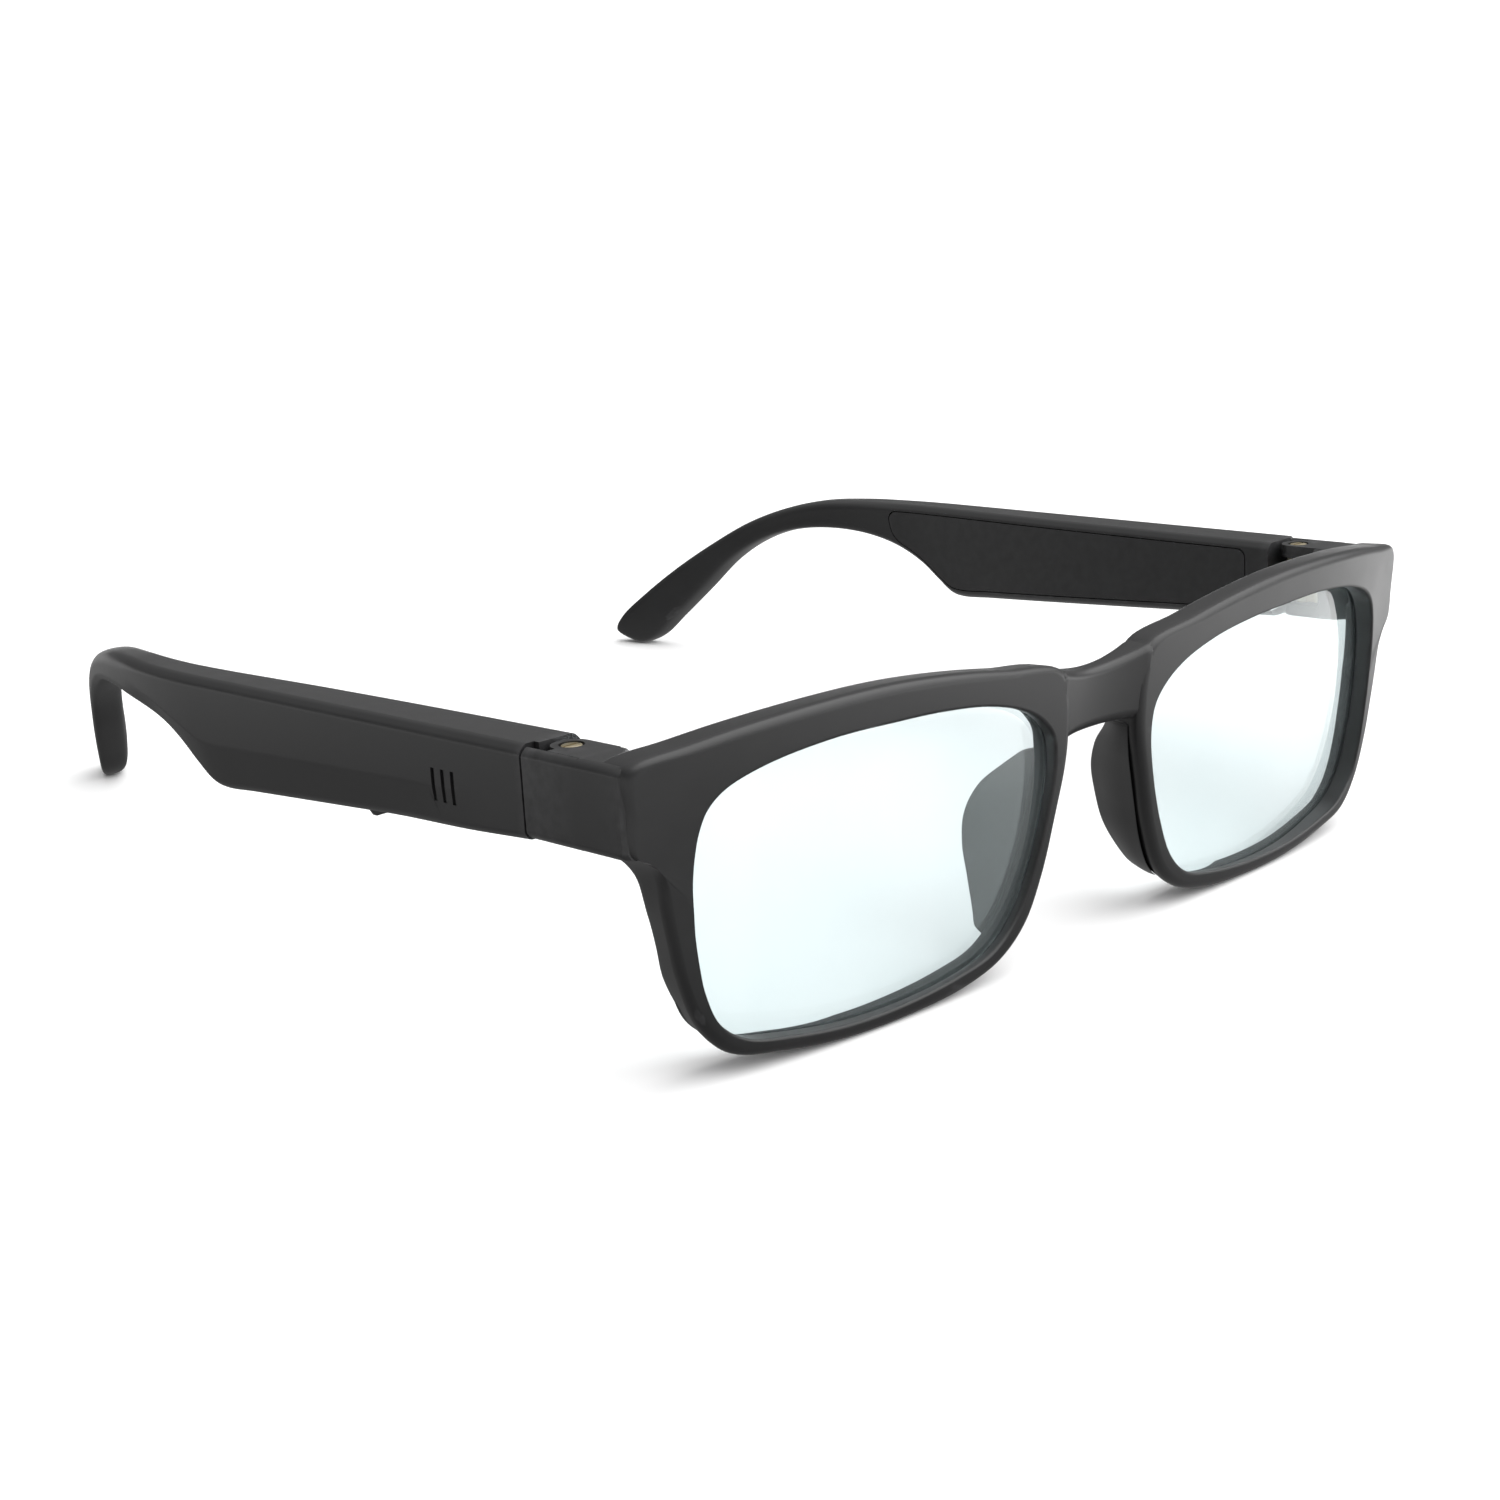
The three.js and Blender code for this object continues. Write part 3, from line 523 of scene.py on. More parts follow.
def speaker_cloth():
    material, n, shader = new_material("speaker_cloth", sheen_weight=0.3)
    place = n.place()
    warp = n.add("ShaderNodeTexWave", {"Vector": place, "Scale": 900.0}, bands_direction="X").outputs[1]
    weft = n.add("ShaderNodeTexWave", {"Vector": place, "Scale": 900.0}, bands_direction="Y").outputs[1]
    weave = n.math("MAXIMUM", warp, weft)
    n.put(n.blend(weave, (0.004, 0.004, 0.004, 1), (0.03, 0.03, 0.03, 1)), shader.inputs["Base Color"])
    n.put(n.span(weave, 0, 1, 0.95, 0.75), shader.inputs["Roughness"])
    bump(n, shader, weave, 0.8, 0.00008)
    return material


FRAME_BLACK = moulded_plastic(
    "satin_black_frame", (0.009, 0.009, 0.0095, 1), (0.014, 0.014, 0.0145, 1), 0.36, 0.44, 4500.0, 0.12)
COVER_BLACK = moulded_plastic(
    "satin_black_cover", (0.008, 0.008, 0.0085, 1), (0.012, 0.012, 0.0125, 1), 0.4, 0.48, 5200.0, 0.14)
PAD_BLACK = moulded_plastic(
    "smooth_silicone_pad", (0.008, 0.008, 0.0085, 1), (0.012, 0.012, 0.0125, 1), 0.28, 0.36, 7000.0, 0.05)
LENS_GLASS = clear_lens()
BRASS = brushed_metal("brushed_brass", (0.42, 0.34, 0.18, 1), (0.62, 0.53, 0.33, 1), 0.28, 0.42)
GOLD = brushed_metal("gold_plate", (0.72, 0.5, 0.2, 1), (0.9, 0.7, 0.34, 1), 0.15, 0.28)
STEEL = brushed_metal("pressed_steel", (0.42, 0.43, 0.45, 1), (0.62, 0.63, 0.65, 1), 0.22, 0.38)
INNER_FINISHES = {
    "hinge_brass": BRASS, "contact_gold": GOLD, "steel_can": STEEL, "board_green": circuit_board(),
    "chip_black": chip_case(), "battery_foil": pouch_foil(), "mesh_cloth": speaker_cloth(),
}

# ------------------------------------------------------------------ front

# Each rung runs from the lens opening to the outside edge of the rim: x, z to x, z.
RIM_RUNGS = (
    (37, -2.0, 37, 2.4), (46, -1.9, 47, 2.45), (55, -2.9, 57.5, 1.85), (60.3, -4.6, 64.5, 1.0),
    (62.4, -6.4, 70.4, 0.1), (63.4, -8.6, 71.5, -0.8), (63.9, -11.2, 71.5, -5.2),
    (64.1, -13.8, 71.4, -9.4), (64.1, -15.4, 69.6, -10.4), (64.0, -17.2, 67.9, -12.4),
    (63.8, -20, 67.1, -17), (63.3, -23.4, 66.3, -20.8), (62.5, -27, 65.4, -24.6),
    (60.6, -30.9, 63.0, -30.8), (57.1, -33.4, 59.1, -34.8), (51, -34.7, 52, -36.5),
    (43, -35.7, 43.3, -37.6), (34, -35.8, 33.6, -37.8), (25, -35.0, 23.6, -37.1),
    (19, -33.6, 17.2, -35.3), (15.2, -30.4, 13.1, -32.0), (12.4, -25, 10.3, -26.4),
    (10.3, -18.4, 8.3, -19.4), (9.4, -13, 6.9, -13.6), (9.9, -9.6, 6.6, -9.8),
    (11.8, -7.3, 6.9, -5.4), (15.3, -5.2, 8.2, -1.75), (21.5, -3.4, 18, 0.2),
    (29, -2.4, 27.5, 1.6),
)


def front_y(x, z):
    return BOW * (x ** 4 - HALF_WIDTH ** 4) - LEAN * z


def rim_depth(x):
    return RIM_DEPTH_NOSE + RIM_DEPTH_GAIN * x


def lens_y(x, z):
    across = x - LENS_X
    up = z - LENS_Z
    return LENS_Y + LENS_TURN * across + (across ** 2 + up ** 2) / (2 * LENS_RADIUS) - LEAN * z


def outline(first, steps):
    points = [Vector((r[first], r[first + 1])) for r in RIM_RUNGS]
    return spline(points, [len(points) * i / steps for i in range(steps)], closed=True)


def pushed_out(points, grow):
    """The closed outline moved outwards, square to itself."""
    out = []
    for i, p in enumerate(points):
        along = (points[(i + 1) % len(points)] - points[i - 1]).normalized()
        out.append(p + Vector((-along.y, along.x)) * grow)
    return out


def rim_taper(outside):
    """How far the back of the rim stands in from its front: least along the top."""
    side = RIM_TAPER_NOSE + (RIM_TAPER_SIDE - RIM_TAPER_NOSE) * smooth(20, 45, outside.x)
    return RIM_TAPER_TOP + (side - RIM_TAPER_TOP) * smooth(9.6, 12.4, -outside.y)


def on_front(d):
    return lambda x, z: front_y(x, z) + d


def on_back(d):
    return lambda x, z: front_y(x, z) + rim_depth(x) - d


def groove_front(x, z):
    return lens_y(x, z) - GROOVE_SLACK


def groove_back(x, z):
    return lens_y(x, z) + LENS_THICK + GROOVE_SLACK


def rim_rings():
    """Sections of the left rim. The averaged taper keeps the outer wall free of steps."""
    opening = outline(0, RIM_STEPS)
    grooves = pushed_out(opening, GROOVE_DEPTH)
    edges = outline(2, RIM_STEPS)
    tapers = [
        min(rim_taper(outside), (outside - inside).length - RIM_BACK_LEAST)
        for inside, outside in zip(opening, edges)
    ]
    rings = []
    for i, (inside, groove, outside) in enumerate(zip(opening, grooves, edges)):
        way = (outside - inside).normalized()
        near = [tapers[(i + k) % RIM_STEPS] for k in range(-TAPER_REACH, TAPER_REACH + 1)]
        taper = min(sum(near) / len(near), (outside - inside).length - RIM_BACK_LEAST)

        def at(p, d, y):
            q = p + way * d
            return Vector((q.x, y(q.x, q.y), q.y))

        ring = [
            at(inside, 0, on_front(0.25)), at(inside, 0.25, on_front(0)),
            at(outside, -0.9, on_front(0)), at(outside, -0.25, on_front(0.35)),
            at(outside, 0, on_front(1.1)), at(outside, -taper, on_back(0.8)),
            at(outside, -taper - 0.6, on_back(0)), at(inside, 0.3, on_back(0)),
            at(inside, 0, on_back(0.4)), at(inside, 0, groove_back), at(groove, 0, groove_back),
            at(groove, 0, groove_front), at(inside, 0, groove_front),
        ]
        radii = [0.2, 0.2, 0.3, 0.3, 0.5, 0.5, 0.4, 0.3, 0.3, 0.1, 0.1, 0.1, 0.15]
        rings.append(rounded(ring, radii, 2))
    return rings


def bridge_rings(steps=44):
    """The bridge, whose ends run on inside the rims so that its top joins theirs in one line."""
    rings = []
    for i in range(steps + 1):
        x = BRIDGE_RUN * (2 * i / steps - 1)
        out = min(1, abs(x) / BRIDGE_HALF)
        past = max(0, abs(x) - BRIDGE_HALF)
        dip = 1 - out * out
        top = BRIDGE_TOP - BRIDGE_DIP * dip + 0.18 * past
        low = BRIDGE_LOW - 0.5 * out ** 4 + 5.8 * smooth(0, 1.5, past)
        sunk = 0.6 * smooth(0, 1.5, past)
        high_face = front_y(x, top) + BRIDGE_SCOOP * dip + sunk
        low_face = front_y(x, low) + BRIDGE_SCOOP * dip + sunk
        back = BRIDGE_BACK - 0.25 * min(1, past)
        corners = [
            (high_face + 0.6, top), (high_face, top - 0.6), (low_face, low + 0.9), (low_face + 0.9, low),
            (back - 0.6, low), (back, low + 0.8), (back, top - 0.8), (back - 0.8, top),
        ]
        rings.append(rounded([Vector((x, y, z)) for y, z in corners], 0.5))
    return rings


def endpiece_section(y, x0, x1, chamfer=0.7):
    low, top, c = ENDPIECE_LOW, ENDPIECE_TOP, chamfer
    corners = [
        (x0 + c, low), (x1 - c, low), (x1, low + c), (x1, top - c),
        (x1 - c, top), (x0 + c, top), (x0, top - c), (x0, low + c),
    ]
    return rounded([Vector((x, y, z)) for x, z in corners], 0.35, 2)


# Sections of the endpiece block from the front back: y, then x of its inner and outer side.
ENDPIECE_STATIONS = (
    (0.9, 67.6, HALF_WIDTH - 0.6), (1.3, 67.5, HALF_WIDTH - 0.15), (1.9, 67.4, HALF_WIDTH),
    (4.8, 67.2, HALF_WIDTH), (7.2, 64.6, HALF_WIDTH), (BLOCK_END, 64.6, HALF_WIDTH),
)


def endpiece_lofts():
    body = [endpiece_section(*station) for station in ENDPIECE_STATIONS]
    wall = [endpiece_section(y, WALL_X, HALF_WIDTH) for y in (BLOCK_END - 1, ENDPIECE_END)]
    x, y = HINGE.x, HINGE.y
    turn = [math.pi * i / 20 for i in range(21)]
    plan = [(x - KNUCKLE_R, BLOCK_END - 1), (WALL_X + 0.8, BLOCK_END - 1), (WALL_X + 0.8, y)]
    plan += [(x + KNUCKLE_R * math.cos(a), y + KNUCKLE_R * math.sin(a)) for a in turn]
    plates = [
        [[Vector((px, py, z)) for px, py in plan] for z in (z0, z0 + PLATE)]
        for z0 in (ENDPIECE_TOP - PLATE, ENDPIECE_LOW)
    ]
    return [body, wall, *plates]


def pin_well(side):
    """Stepped hole for the hinge screw and its head."""
    r = PIN_R + PIN_SLACK
    head = PIN_HEAD_R + PIN_SLACK
    floor = ENDPIECE_TOP - PIN_HEAD - GAP
    profile = ((r, ENDPIECE_LOW - 1), (r, floor), (head, floor), (head, 1))
    return [post(HINGE.x * side, HINGE.y, radius, z, z)[0] for radius, z in profile]


def mirrored_rings(rings):
    return [[Vector((-p.x, p.y, p.z)) for p in ring] for ring in rings]


def front_frame():
    rim = rim_rings()
    front = loft("moulded_front", rim, closed=True)
    pieces = [loft("piece", mirrored_rings(rim), closed=True), loft("piece", bridge_rings())]
    for rings in endpiece_lofts():
        pieces += [loft("piece", rings), loft("piece", mirrored_rings(rings))]
    for piece in pieces:
        combined(front, piece, "UNION")
    cut(front, solids("wells", [pin_well(1), pin_well(-1)]))
    return fit(front, "front", "front_frame", FRAME_BLACK, sharp=0.55)


def lens():
    """Curved disc with a bevelled edge, whose two faces are even shells."""
    edge = pushed_out(outline(0, 220), GROOVE_DEPTH - GAP)
    profile = [(0.25, 0), (0.5, 0), (0.75, 0), (0.92, 0), (0.985, 0), (1, 0.35)]
    profile += [(1, LENS_THICK - 0.35)] + [(f, LENS_THICK) for f in (0.985, 0.92, 0.75, 0.5, 0.25)]
    bm = bmesh.new()

    def at(p, f, depth):
        x = LENS_X + (p.x - LENS_X) * f
        z = LENS_Z + (p.y - LENS_Z) * f
        return Vector((x, lens_y(x, z) + depth, z))

    rings = [[bm.verts.new(at(p, f, depth)) for p in edge] for f, depth in profile]
    count = len(edge)
    for a, b in zip(rings, rings[1:]):
        for j in range(count):
            k = (j + 1) % count
            bm.faces.new((a[j], a[k], b[k], b[j]))
    for ring, depth in ((rings[0], 0), (rings[-1], LENS_THICK)):
        hub = bm.verts.new(Vector((LENS_X, lens_y(LENS_X, LENS_Z) + depth, LENS_Z)))
        for j in range(count):
            bm.faces.new((hub, ring[j], ring[(j + 1) % count]))
    bmesh.ops.recalc_face_normals(bm, faces=bm.faces)
    return new_object("clear_lens_left", bm)


# Back edge of the nose pad from the top down: x, y, z of its edge and x of the rim beside it.
PAD_RUNGS = (
    (8.2, 1.3, -11.4, 6.7), (10, 3.5, -13.4, 6.9), (11.6, 6.1, -16, 7.3), (12.6, 7.6, -19.4, 8.2),
    (13.2, 7.6, -23, 9.2), (13.6, 6.7, -27, 10.4), (14.9, 4.9, -31, 12.3), (16.4, 3.5, -33.6, 14.6),
)


def nose_pad(steps=70):
    places = even(0, len(PAD_RUNGS) - 1, steps)
    backs = spline([Vector((x, y, z)) for x, y, z, _ in PAD_RUNGS], places)
    roots = spline([Vector((x, 0, z)) for _, _, z, x in PAD_RUNGS], places)
    rings = []
    for i, (back, root) in enumerate(zip(backs, roots)):
        share = i / (steps - 1)
        close = min(1, share / 0.05, (1 - share) / 0.1)
        full = max(0.12, math.sqrt(1 - (1 - close) ** 2))
        z = back.z
        face = front_y(root.x, z)
        rear = face + rim_depth(root.x)
        mid_x = (root.x + back.x) / 2 - 0.7
        mid_y = (face + back.y) / 2 + 0.8
        corners = [
            (root.x, face + 1.8), (mid_x, mid_y), (back.x - 0.4, back.y), (back.x + 1, back.y - 0.3),
            (root.x + 2.5, rear + GAP), (root.x + 0.9, rear - 1.6),
        ]
        base = Vector((root.x + 0.8, (face + rear) / 2, z))
        ring = [base + (Vector((x, y, z)) - base) * full for x, y in corners]
        rings.append(rounded(ring, [0.4, 2.5, 0.6, 0.6, 0.8, 0.5], 5))
    return loft("soft_nose_pad_left", rings)


def hinge_screw():
    top = ENDPIECE_TOP - 0.05
    low = ENDPIECE_LOW + 0.2
    profile = (
        (0.05, low), (PIN_R - 0.2, low), (PIN_R, low + 0.3), (PIN_R, top - PIN_HEAD),
        (PIN_HEAD_R - 0.08, top - PIN_HEAD), (PIN_HEAD_R, top - PIN_HEAD + 0.08), (PIN_HEAD_R, top - 0.15),
        (PIN_HEAD_R - 0.05, top - 0.05), (PIN_HEAD_R - 0.15, top), (0.05, top),
    )
    screw = loft("hinge_screw_left", [post(HINGE.x, HINGE.y, r, z, z)[0] for r, z in profile])
    reach = PIN_HEAD_R + 1
    x, y = HINGE.x, HINGE.y
    slot = box(x - reach, x + reach, y - 0.16, y + 0.16, top - 0.3, top + 1)
    return cut(screw, solids("driver", [slot]))


# ------------------------------------------------------------------ temples

def bottom_z(y):
    return BOX_LOW - BOX_FALL * (y - TEMPLE_INNER_START)


def outer_x(y):
    splay = TEMPLE_SPLAY * max(0, y - TEMPLE_START)
    return HALF_WIDTH + splay - EAR_BEND * max(0, y - EAR_BEND_START) ** 2


# Each rung joins the top edge of the temple to its bottom edge, y, z to y, z, then its thickness.
TEMPLE_RUNGS = (
    (TEMPLE_INNER_START, 0, TEMPLE_INNER_START, BOX_LOW, 8), (40, 0, 40, bottom_z(40), 7.6),
    (60, 0, 60, bottom_z(60), 7), (70, 0, 70, bottom_z(70), 6.5), (76, 0, 75.9, bottom_z(75.9), 6.2),
    (78.8, 0, 78.2, -13.6, 6.1), (82, 0, 80.9, -11.9, 6), (86, 0, 84.4, -9.5, 5.8),
    (91, 0, 89.4, -7.1, 5.6), (98, 0, 96, -5.4, 5.3), (105.5, -0.4, 104, -4.8, 5),
    (112, -1.8, 110.8, -5.5, 4.8), (118, -4.1, 116.4, -7.5, 4.8), (124, -7.7, 121.4, -10.9, 4.9),
    (129.8, -11.9, 126.1, -15.9, 5), (135, -16.4, 130.7, -20.8, 4.9), (138.8, -20.2, 133.8, -24.1, 4.4),
    (140.3, -22.6, 136.2, -25.3, 3.4), (139.9, -24, 137.8, -25.2, 2),
)
RUNG_SPAN = len(TEMPLE_RUNGS) - 1

# Where along the rungs each hollow or panel of the temple starts and ends, and its sections.
CAVITY_SPAN = (0.21, 7.6)
CAVITY_STEPS = 34
SEAT_SPAN = (0.16, 8.1)
COVER_SPAN = (0.166, 8.08)
ARM_STEPS = 230


class Rung:
    """One line from the top edge to the bottom edge of the temple."""

    def __init__(self, top, bottom, inset):
        self.thick = top.x
        self.top = Vector((top.y, top.z))
        self.down = Vector((bottom.y, bottom.z)) - self.top
        self.height = self.down.length
        self.inset = inset

    def point(self, f, dz, inwards):
        s = (self.inset + (self.height - 2 * self.inset) * f + dz) / self.height
        y, z = self.top + self.down * s
        return Vector((outer_x(y) - inwards, y, z))


def temple_rungs(places, inset=0):
    tops, bottoms = (
        spline([Vector((r[4], r[k], r[k + 1])) for r in TEMPLE_RUNGS], places) for k in (0, 2))
    return [Rung(a, b, inset) for a, b in zip(tops, bottoms)]


def panel_rungs(start, end, inset, steps=70):
    """Rungs of a side panel whose front and rear corners are rounded."""
    rungs = temple_rungs(dense_ends(start, end, steps), inset)
    for mouth, r in ((rungs[0].top.x, PANEL_CORNER), (rungs[-1].top.x, PANEL_TAIL)):
        for rung in rungs:
            away = abs(rung.top.x - mouth)
            if away < r:
                rung.inset = inset + r - math.sqrt(r * r - (r - away) ** 2)
    return rungs


def arm_section(rung):
    chamfer = min(0.9, rung.thick * 0.24)
    y = rung.point(0.5, 0, 0).y
    facet = FACET_DEPTH * smooth(FACET_START, FACET_END, y) * (1 - smooth(86, 100, y))
    ear = smooth(88, 112, y)
    inner = rung.thick
    corners = [
        rung.point(0, 0, chamfer), rung.point(0, chamfer, 0), rung.point(FACET_HEIGHT, 0, 0),
        rung.point(1, -0.7, facet), rung.point(1, 0, facet + 0.7), rung.point(1, 0, inner - 0.7),
        rung.point(1, -0.7, inner), rung.point(0, chamfer, inner), rung.point(0, 0, inner - chamfer),
    ]
    edge = 0.4 + 1.2 * ear
    radii = [edge, edge, 0.3 + ear, edge, edge, edge, edge, edge, edge]
    return rounded(corners, radii, 4)


def slab_rings(rungs, near, far):
    rings = []
    for rung in rungs:
        a, b = near(rung), far(rung)
        corners = ((0, a), (1, a), (1, b), (0, b))
        rings.append([rung.point(f, 0, inwards) for f, inwards in corners])
    return rings


def cover_back(rung):
    return rung.thick - COVER_THICK


def past_inner_face(rung):
    return rung.thick + 1


def slots(count, pitch, y, width, x0, x1, z0, z1):
    centres = [y + (i - (count - 1) / 2) * pitch for i in range(count)]
    return [box(x0, x1, c - width / 2, c + width / 2, z0, z1) for c in centres]


def through_floor(y):
    """Lowest and highest z of a cutter that goes through the floor of the temple."""
    return bottom_z(y) - CUT_BELOW, bottom_z(y) + CUT_ABOVE


def arm_cutters(with_button):
    hollow = temple_rungs(even(*CAVITY_SPAN, CAVITY_STEPS), BOTTOM_WALL)
    cavity = slab_rings(hollow, lambda r: WALL, past_inner_face)
    ledge = panel_rungs(*SEAT_SPAN, COVER_LAND)
    seat = slab_rings(ledge, lambda r: cover_back(r) - GAP, past_inner_face)
    seam = box(
        WALL_X - 0.4, HALF_WIDTH + 1, TEMPLE_INNER_START - 1, TEMPLE_START, FAR_BELOW, FAR_ABOVE)
    knuckle = post(HINGE.x, HINGE.y, KNUCKLE_R + GAP, FAR_BELOW, FAR_ABOVE)
    leaf = box(
        HINGE.x - TONGUE_HALF - GAP, HINGE.x + TONGUE_HALF + GAP, HINGE.y, LEAF_END + GAP,
        TONGUE_LOW - GAP, TONGUE_TOP + GAP)
    holes = slots(
        SPEAKER_SLOTS, SPEAKER_PITCH, SPEAKER_Y, SPEAKER_SLOT,
        SPEAKER_X - SPEAKER_HALF, SPEAKER_X + SPEAKER_HALF, *through_floor(SPEAKER_Y))
    holes += [post(BAY_X, y, CONTACT_R + GAP, *through_floor(y)) for y in CONTACT_Y]
    holes.append(post(BAY_X, MIC_Y, MIC_R, *through_floor(MIC_Y), 24))
    face = outer_x(MARK_Y)
    holes += slots(
        MARK_SLOTS, MARK_PITCH, MARK_Y, MARK_WIDTH, face - MARK_DEPTH, face + 1, MARK_LOW, MARK_TOP)
    if with_button:
        across = BUTTON_WIDTH / 2 + GAP
        along = BUTTON_LENGTH / 2 + GAP
        holes.append(box(
            BAY_X - across, BAY_X + across, BUTTON_Y - along, BUTTON_Y + along,
            *through_floor(BUTTON_Y)))
    return [[cavity], [seat], [seam], [knuckle], [leaf], holes]


def temple_arm(name, with_button):
    rings = [arm_section(r) for r in temple_rungs(even(0, RUNG_SPAN, ARM_STEPS))]
    arm = loft(name, rings)
    for tools in arm_cutters(with_button):
        cut(arm, solids("tool", tools))
    return arm


def inner_cover():
    rungs = panel_rungs(*COVER_SPAN, COVER_LAND + SEAM)
    cover = loft("inner_cover_left", slab_rings(rungs, cover_back, lambda r: r.thick))
    return softened(cover, 0.1, 2)


def press_key():
    z = bottom_z(BUTTON_Y)
    half = BUTTON_LENGTH / 2
    wall = z + BOTTOM_WALL
    side = (
        (-half, wall), (-half, z + 0.3), (-half + 0.3, z), (0.3, z - BUTTON_PROUD), (1, z - BUTTON_PROUD),
        (half - 0.3, z), (half, z + 0.3), (half, wall), (half + 0.5, wall + 0.25),
        (half + 0.5, wall + 0.8), (-half - 0.5, wall + 0.8), (-half - 0.5, wall + 0.25),
    )
    rings = [
        [Vector((BAY_X + x, BUTTON_Y + y, h)) for y, h in side]
        for x in (-BUTTON_WIDTH / 2, BUTTON_WIDTH / 2)
    ]
    return softened(loft("press_key", rings), 0.14)


def charge_pad(name, y):
    z = bottom_z(y) + 0.15
    r = CONTACT_R
    profile = ((0.05, 0), (r - 0.25, 0), (r - 0.08, 0.07), (r, 0.22), (r, 2.1), (0.05, 2.1))
    return loft(name, [post(BAY_X, y, radius, z + h, z + h)[0] for radius, h in profile])


# ------------------------------------------------------------------ assembly

def both_sides(obj, stem, node, bodies, material, sharp=0.6):
    other = mirror_copy(obj, f"{stem}_right")
    for piece, side, body in zip((obj, other), SIDES, bodies):
        fit(piece, body, f"{node}_{side}", material, sharp)
    return obj, other


def build_glasses():
    fronts = ("front", "front")
    temples = ("temple_left", "temple_right")
    front_frame()
    for glass in both_sides(lens(), "clear_lens", "lens", fronts, LENS_GLASS, 0.9):
        glass.visible_shadow = False
    both_sides(nose_pad(), "soft_nose_pad", "nose_pad", fronts, PAD_BLACK, 1.0)
    both_sides(hinge_screw(), "hinge_screw", "hinge_pin", fronts, BRASS)
    both_sides(inner_cover(), "inner_cover", "temple_cover", temples, COVER_BLACK)
    for place, y in zip(("front", "rear"), CONTACT_Y):
        pad = charge_pad(f"charge_pad_{place}_left", y)
        both_sides(pad, f"charge_pad_{place}", f"charge_contact_{place}", temples, GOLD)
    left = temple_arm("temple_arm_left", False)
    fit(left, "temple_left", "temple_shell_left", FRAME_BLACK)
    drawn = temple_arm("temple_arm_drawn", True)
    right = mirror_copy(drawn, "temple_arm_right")
    bpy.data.objects.remove(drawn)
    fit(right, "temple_right", "temple_shell_right", FRAME_BLACK)
    drawn_key = press_key()
    key = mirror_copy(drawn_key, "press_key_right")
    bpy.data.objects.remove(drawn_key)
    fit(key, "power_button", "power_button_right", COVER_BLACK)


def finish_inner_parts():
    """Gives the hinge leaves and the electronics their finishes."""
    for part in frame["record"]["subparts"]:
        material = INNER_FINISHES.get(part["material_slot"])
        if material:
            node = frame["nodes"][part["node"]]
            node.data.materials.clear()
            node.data.materials.append(material)


# ------------------------------------------------------------------ camera, floor and light

CAMERA_TURN = math.radians(44.722)
CAMERA_RISE = math.radians(17.992)
CAMERA_ROLL = math.radians(0.467)
CAMERA_AWAY = 0.3442
CAMERA_AIM = Vector((0, -0.01124, 0.01058))

# Metres from here on. The floor's glow is painted light, an emission the camera doesn't see; it grows towards +X
# and with the distance from the middle, which leaves a painted shade round the glasses.
FLOOR_RADIUS = 9
SIDE_GLOW = 1.45
SIDE_GLOW_CURVE = 3.0
SIDE_GLOW_X = (-0.08, 0.16)
GLOW_AWAY = (0.12, 0.2)
GLOW_LEVELS = (0.32, 1.1)
SKY_HEIGHTS = (0.2, 0.9)
SKY_LEVELS = (0.2, 0.9)
SUN_STRENGTH = 3.7
SUN_SPREAD = 1.6
SUN_WAY = Vector((-0.5, 0.6, -1))


def add_camera():
    camera = bpy.data.objects.new("camera", bpy.data.cameras.new("camera"))
    camera.data.lens = 60
    camera.data.sensor_width = 36
    camera.data.clip_start = 0.01
    ahead = Vector((
        math.sin(CAMERA_TURN) * math.cos(CAMERA_RISE), math.cos(CAMERA_TURN) * math.cos(CAMERA_RISE),
        -math.sin(CAMERA_RISE)))
    look = ahead.to_track_quat("-Z", "Y").to_matrix().to_4x4()
    camera.matrix_world = (
        Matrix.Translation(CAMERA_AIM - ahead * CAMERA_AWAY) @ look @ Matrix.Rotation(CAMERA_ROLL, 4, "Z"))
    bpy.context.scene.collection.objects.link(camera)
    bpy.context.scene.camera = camera


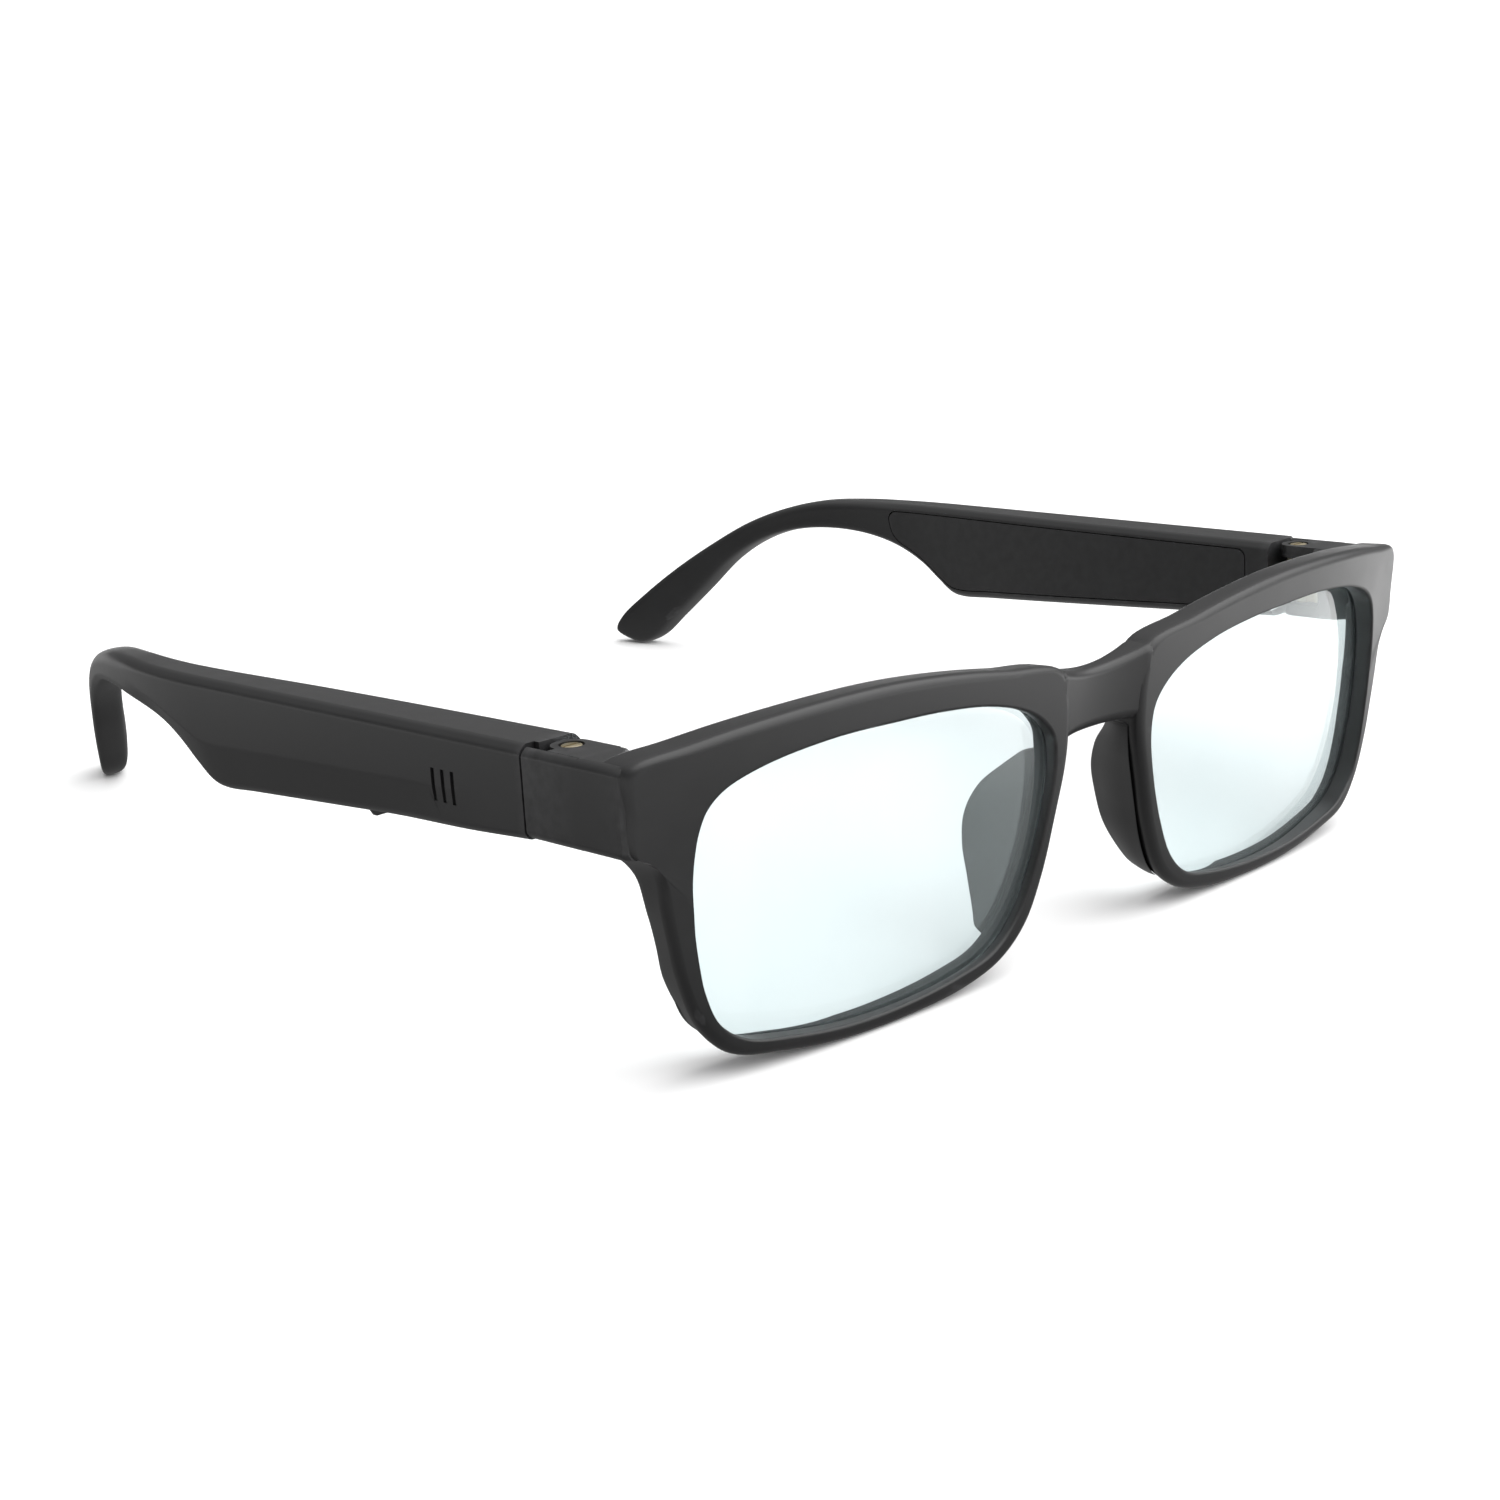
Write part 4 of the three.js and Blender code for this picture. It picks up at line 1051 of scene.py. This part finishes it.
def add_floor():
    """Plain pale floor to the camera. To the glasses it is a painted glow, stronger on the wearer's left and dim
    round them.
    """
    bm = bmesh.new()
    bmesh.ops.create_circle(bm, cap_ends=True, radius=FLOOR_RADIUS, segments=96)
    floor = new_object("floor", bm)
    material, n, shader = new_material("pale_floor", roughness=0.8)
    place = n.place()
    grain = n.noise(place, 40.0, 3.0)
    n.put(n.blend(grain, (0.9, 0.9, 0.9, 1), (0.93, 0.93, 0.93, 1)), shader.inputs["Base Color"])
    across = n.span(n.add("ShaderNodeSeparateXYZ", {0: place}).outputs["X"], *SIDE_GLOW_X)
    away = n.add("ShaderNodeVectorMath", {0: place}, operation="LENGTH").outputs["Value"]
    side_glow = n.math("MULTIPLY", n.math("POWER", across, SIDE_GLOW_CURVE), SIDE_GLOW)
    glow = n.math("ADD", side_glow, n.span(away, *GLOW_AWAY, *GLOW_LEVELS))
    # Painted light: the floor glows for every ray except the camera's and those through the lenses.
    painted_glow = n.add("ShaderNodeEmission", {"Strength": glow}).outputs[0]
    mixed = n.add("ShaderNodeMixShader", {0: n.looked_at(), 1: painted_glow, 2: shader.outputs[0]}).outputs[0]
    n.put(mixed, material.node_tree.nodes["Material Output"].inputs["Surface"])
    floor.data.materials.append(material)


def add_sun():
    sun = bpy.data.lights.new("soft_sun", "SUN")
    sun.energy = SUN_STRENGTH
    sun.angle = SUN_SPREAD
    lamp = bpy.data.objects.new("soft_sun", sun)
    lamp.rotation_euler = SUN_WAY.to_track_quat("-Z", "Y").to_euler()
    bpy.context.scene.collection.objects.link(lamp)


def add_world():
    world = bpy.data.worlds.new("studio")
    world.use_nodes = True
    bpy.context.scene.world = world
    n = Nodes(world.node_tree)
    way = n.add("ShaderNodeTexCoord").outputs["Generated"]
    up = n.add("ShaderNodeSeparateXYZ", {0: way}).outputs["Z"]
    shade = n.span(up, *SKY_HEIGHTS, *SKY_LEVELS)
    background = world.node_tree.nodes["Background"]
    shade = n.math("MAXIMUM", shade, n.looked_at())
    n.put(n.blend(shade, (0, 0, 0, 1), (1, 1, 1, 1)), background.inputs["Color"])
    background.inputs["Strength"].default_value = 1.0


add_camera()
build_glasses()
finish_inner_parts()
add_floor()
add_world()
add_sun()
bpy.context.scene.view_settings.view_transform = "Standard"
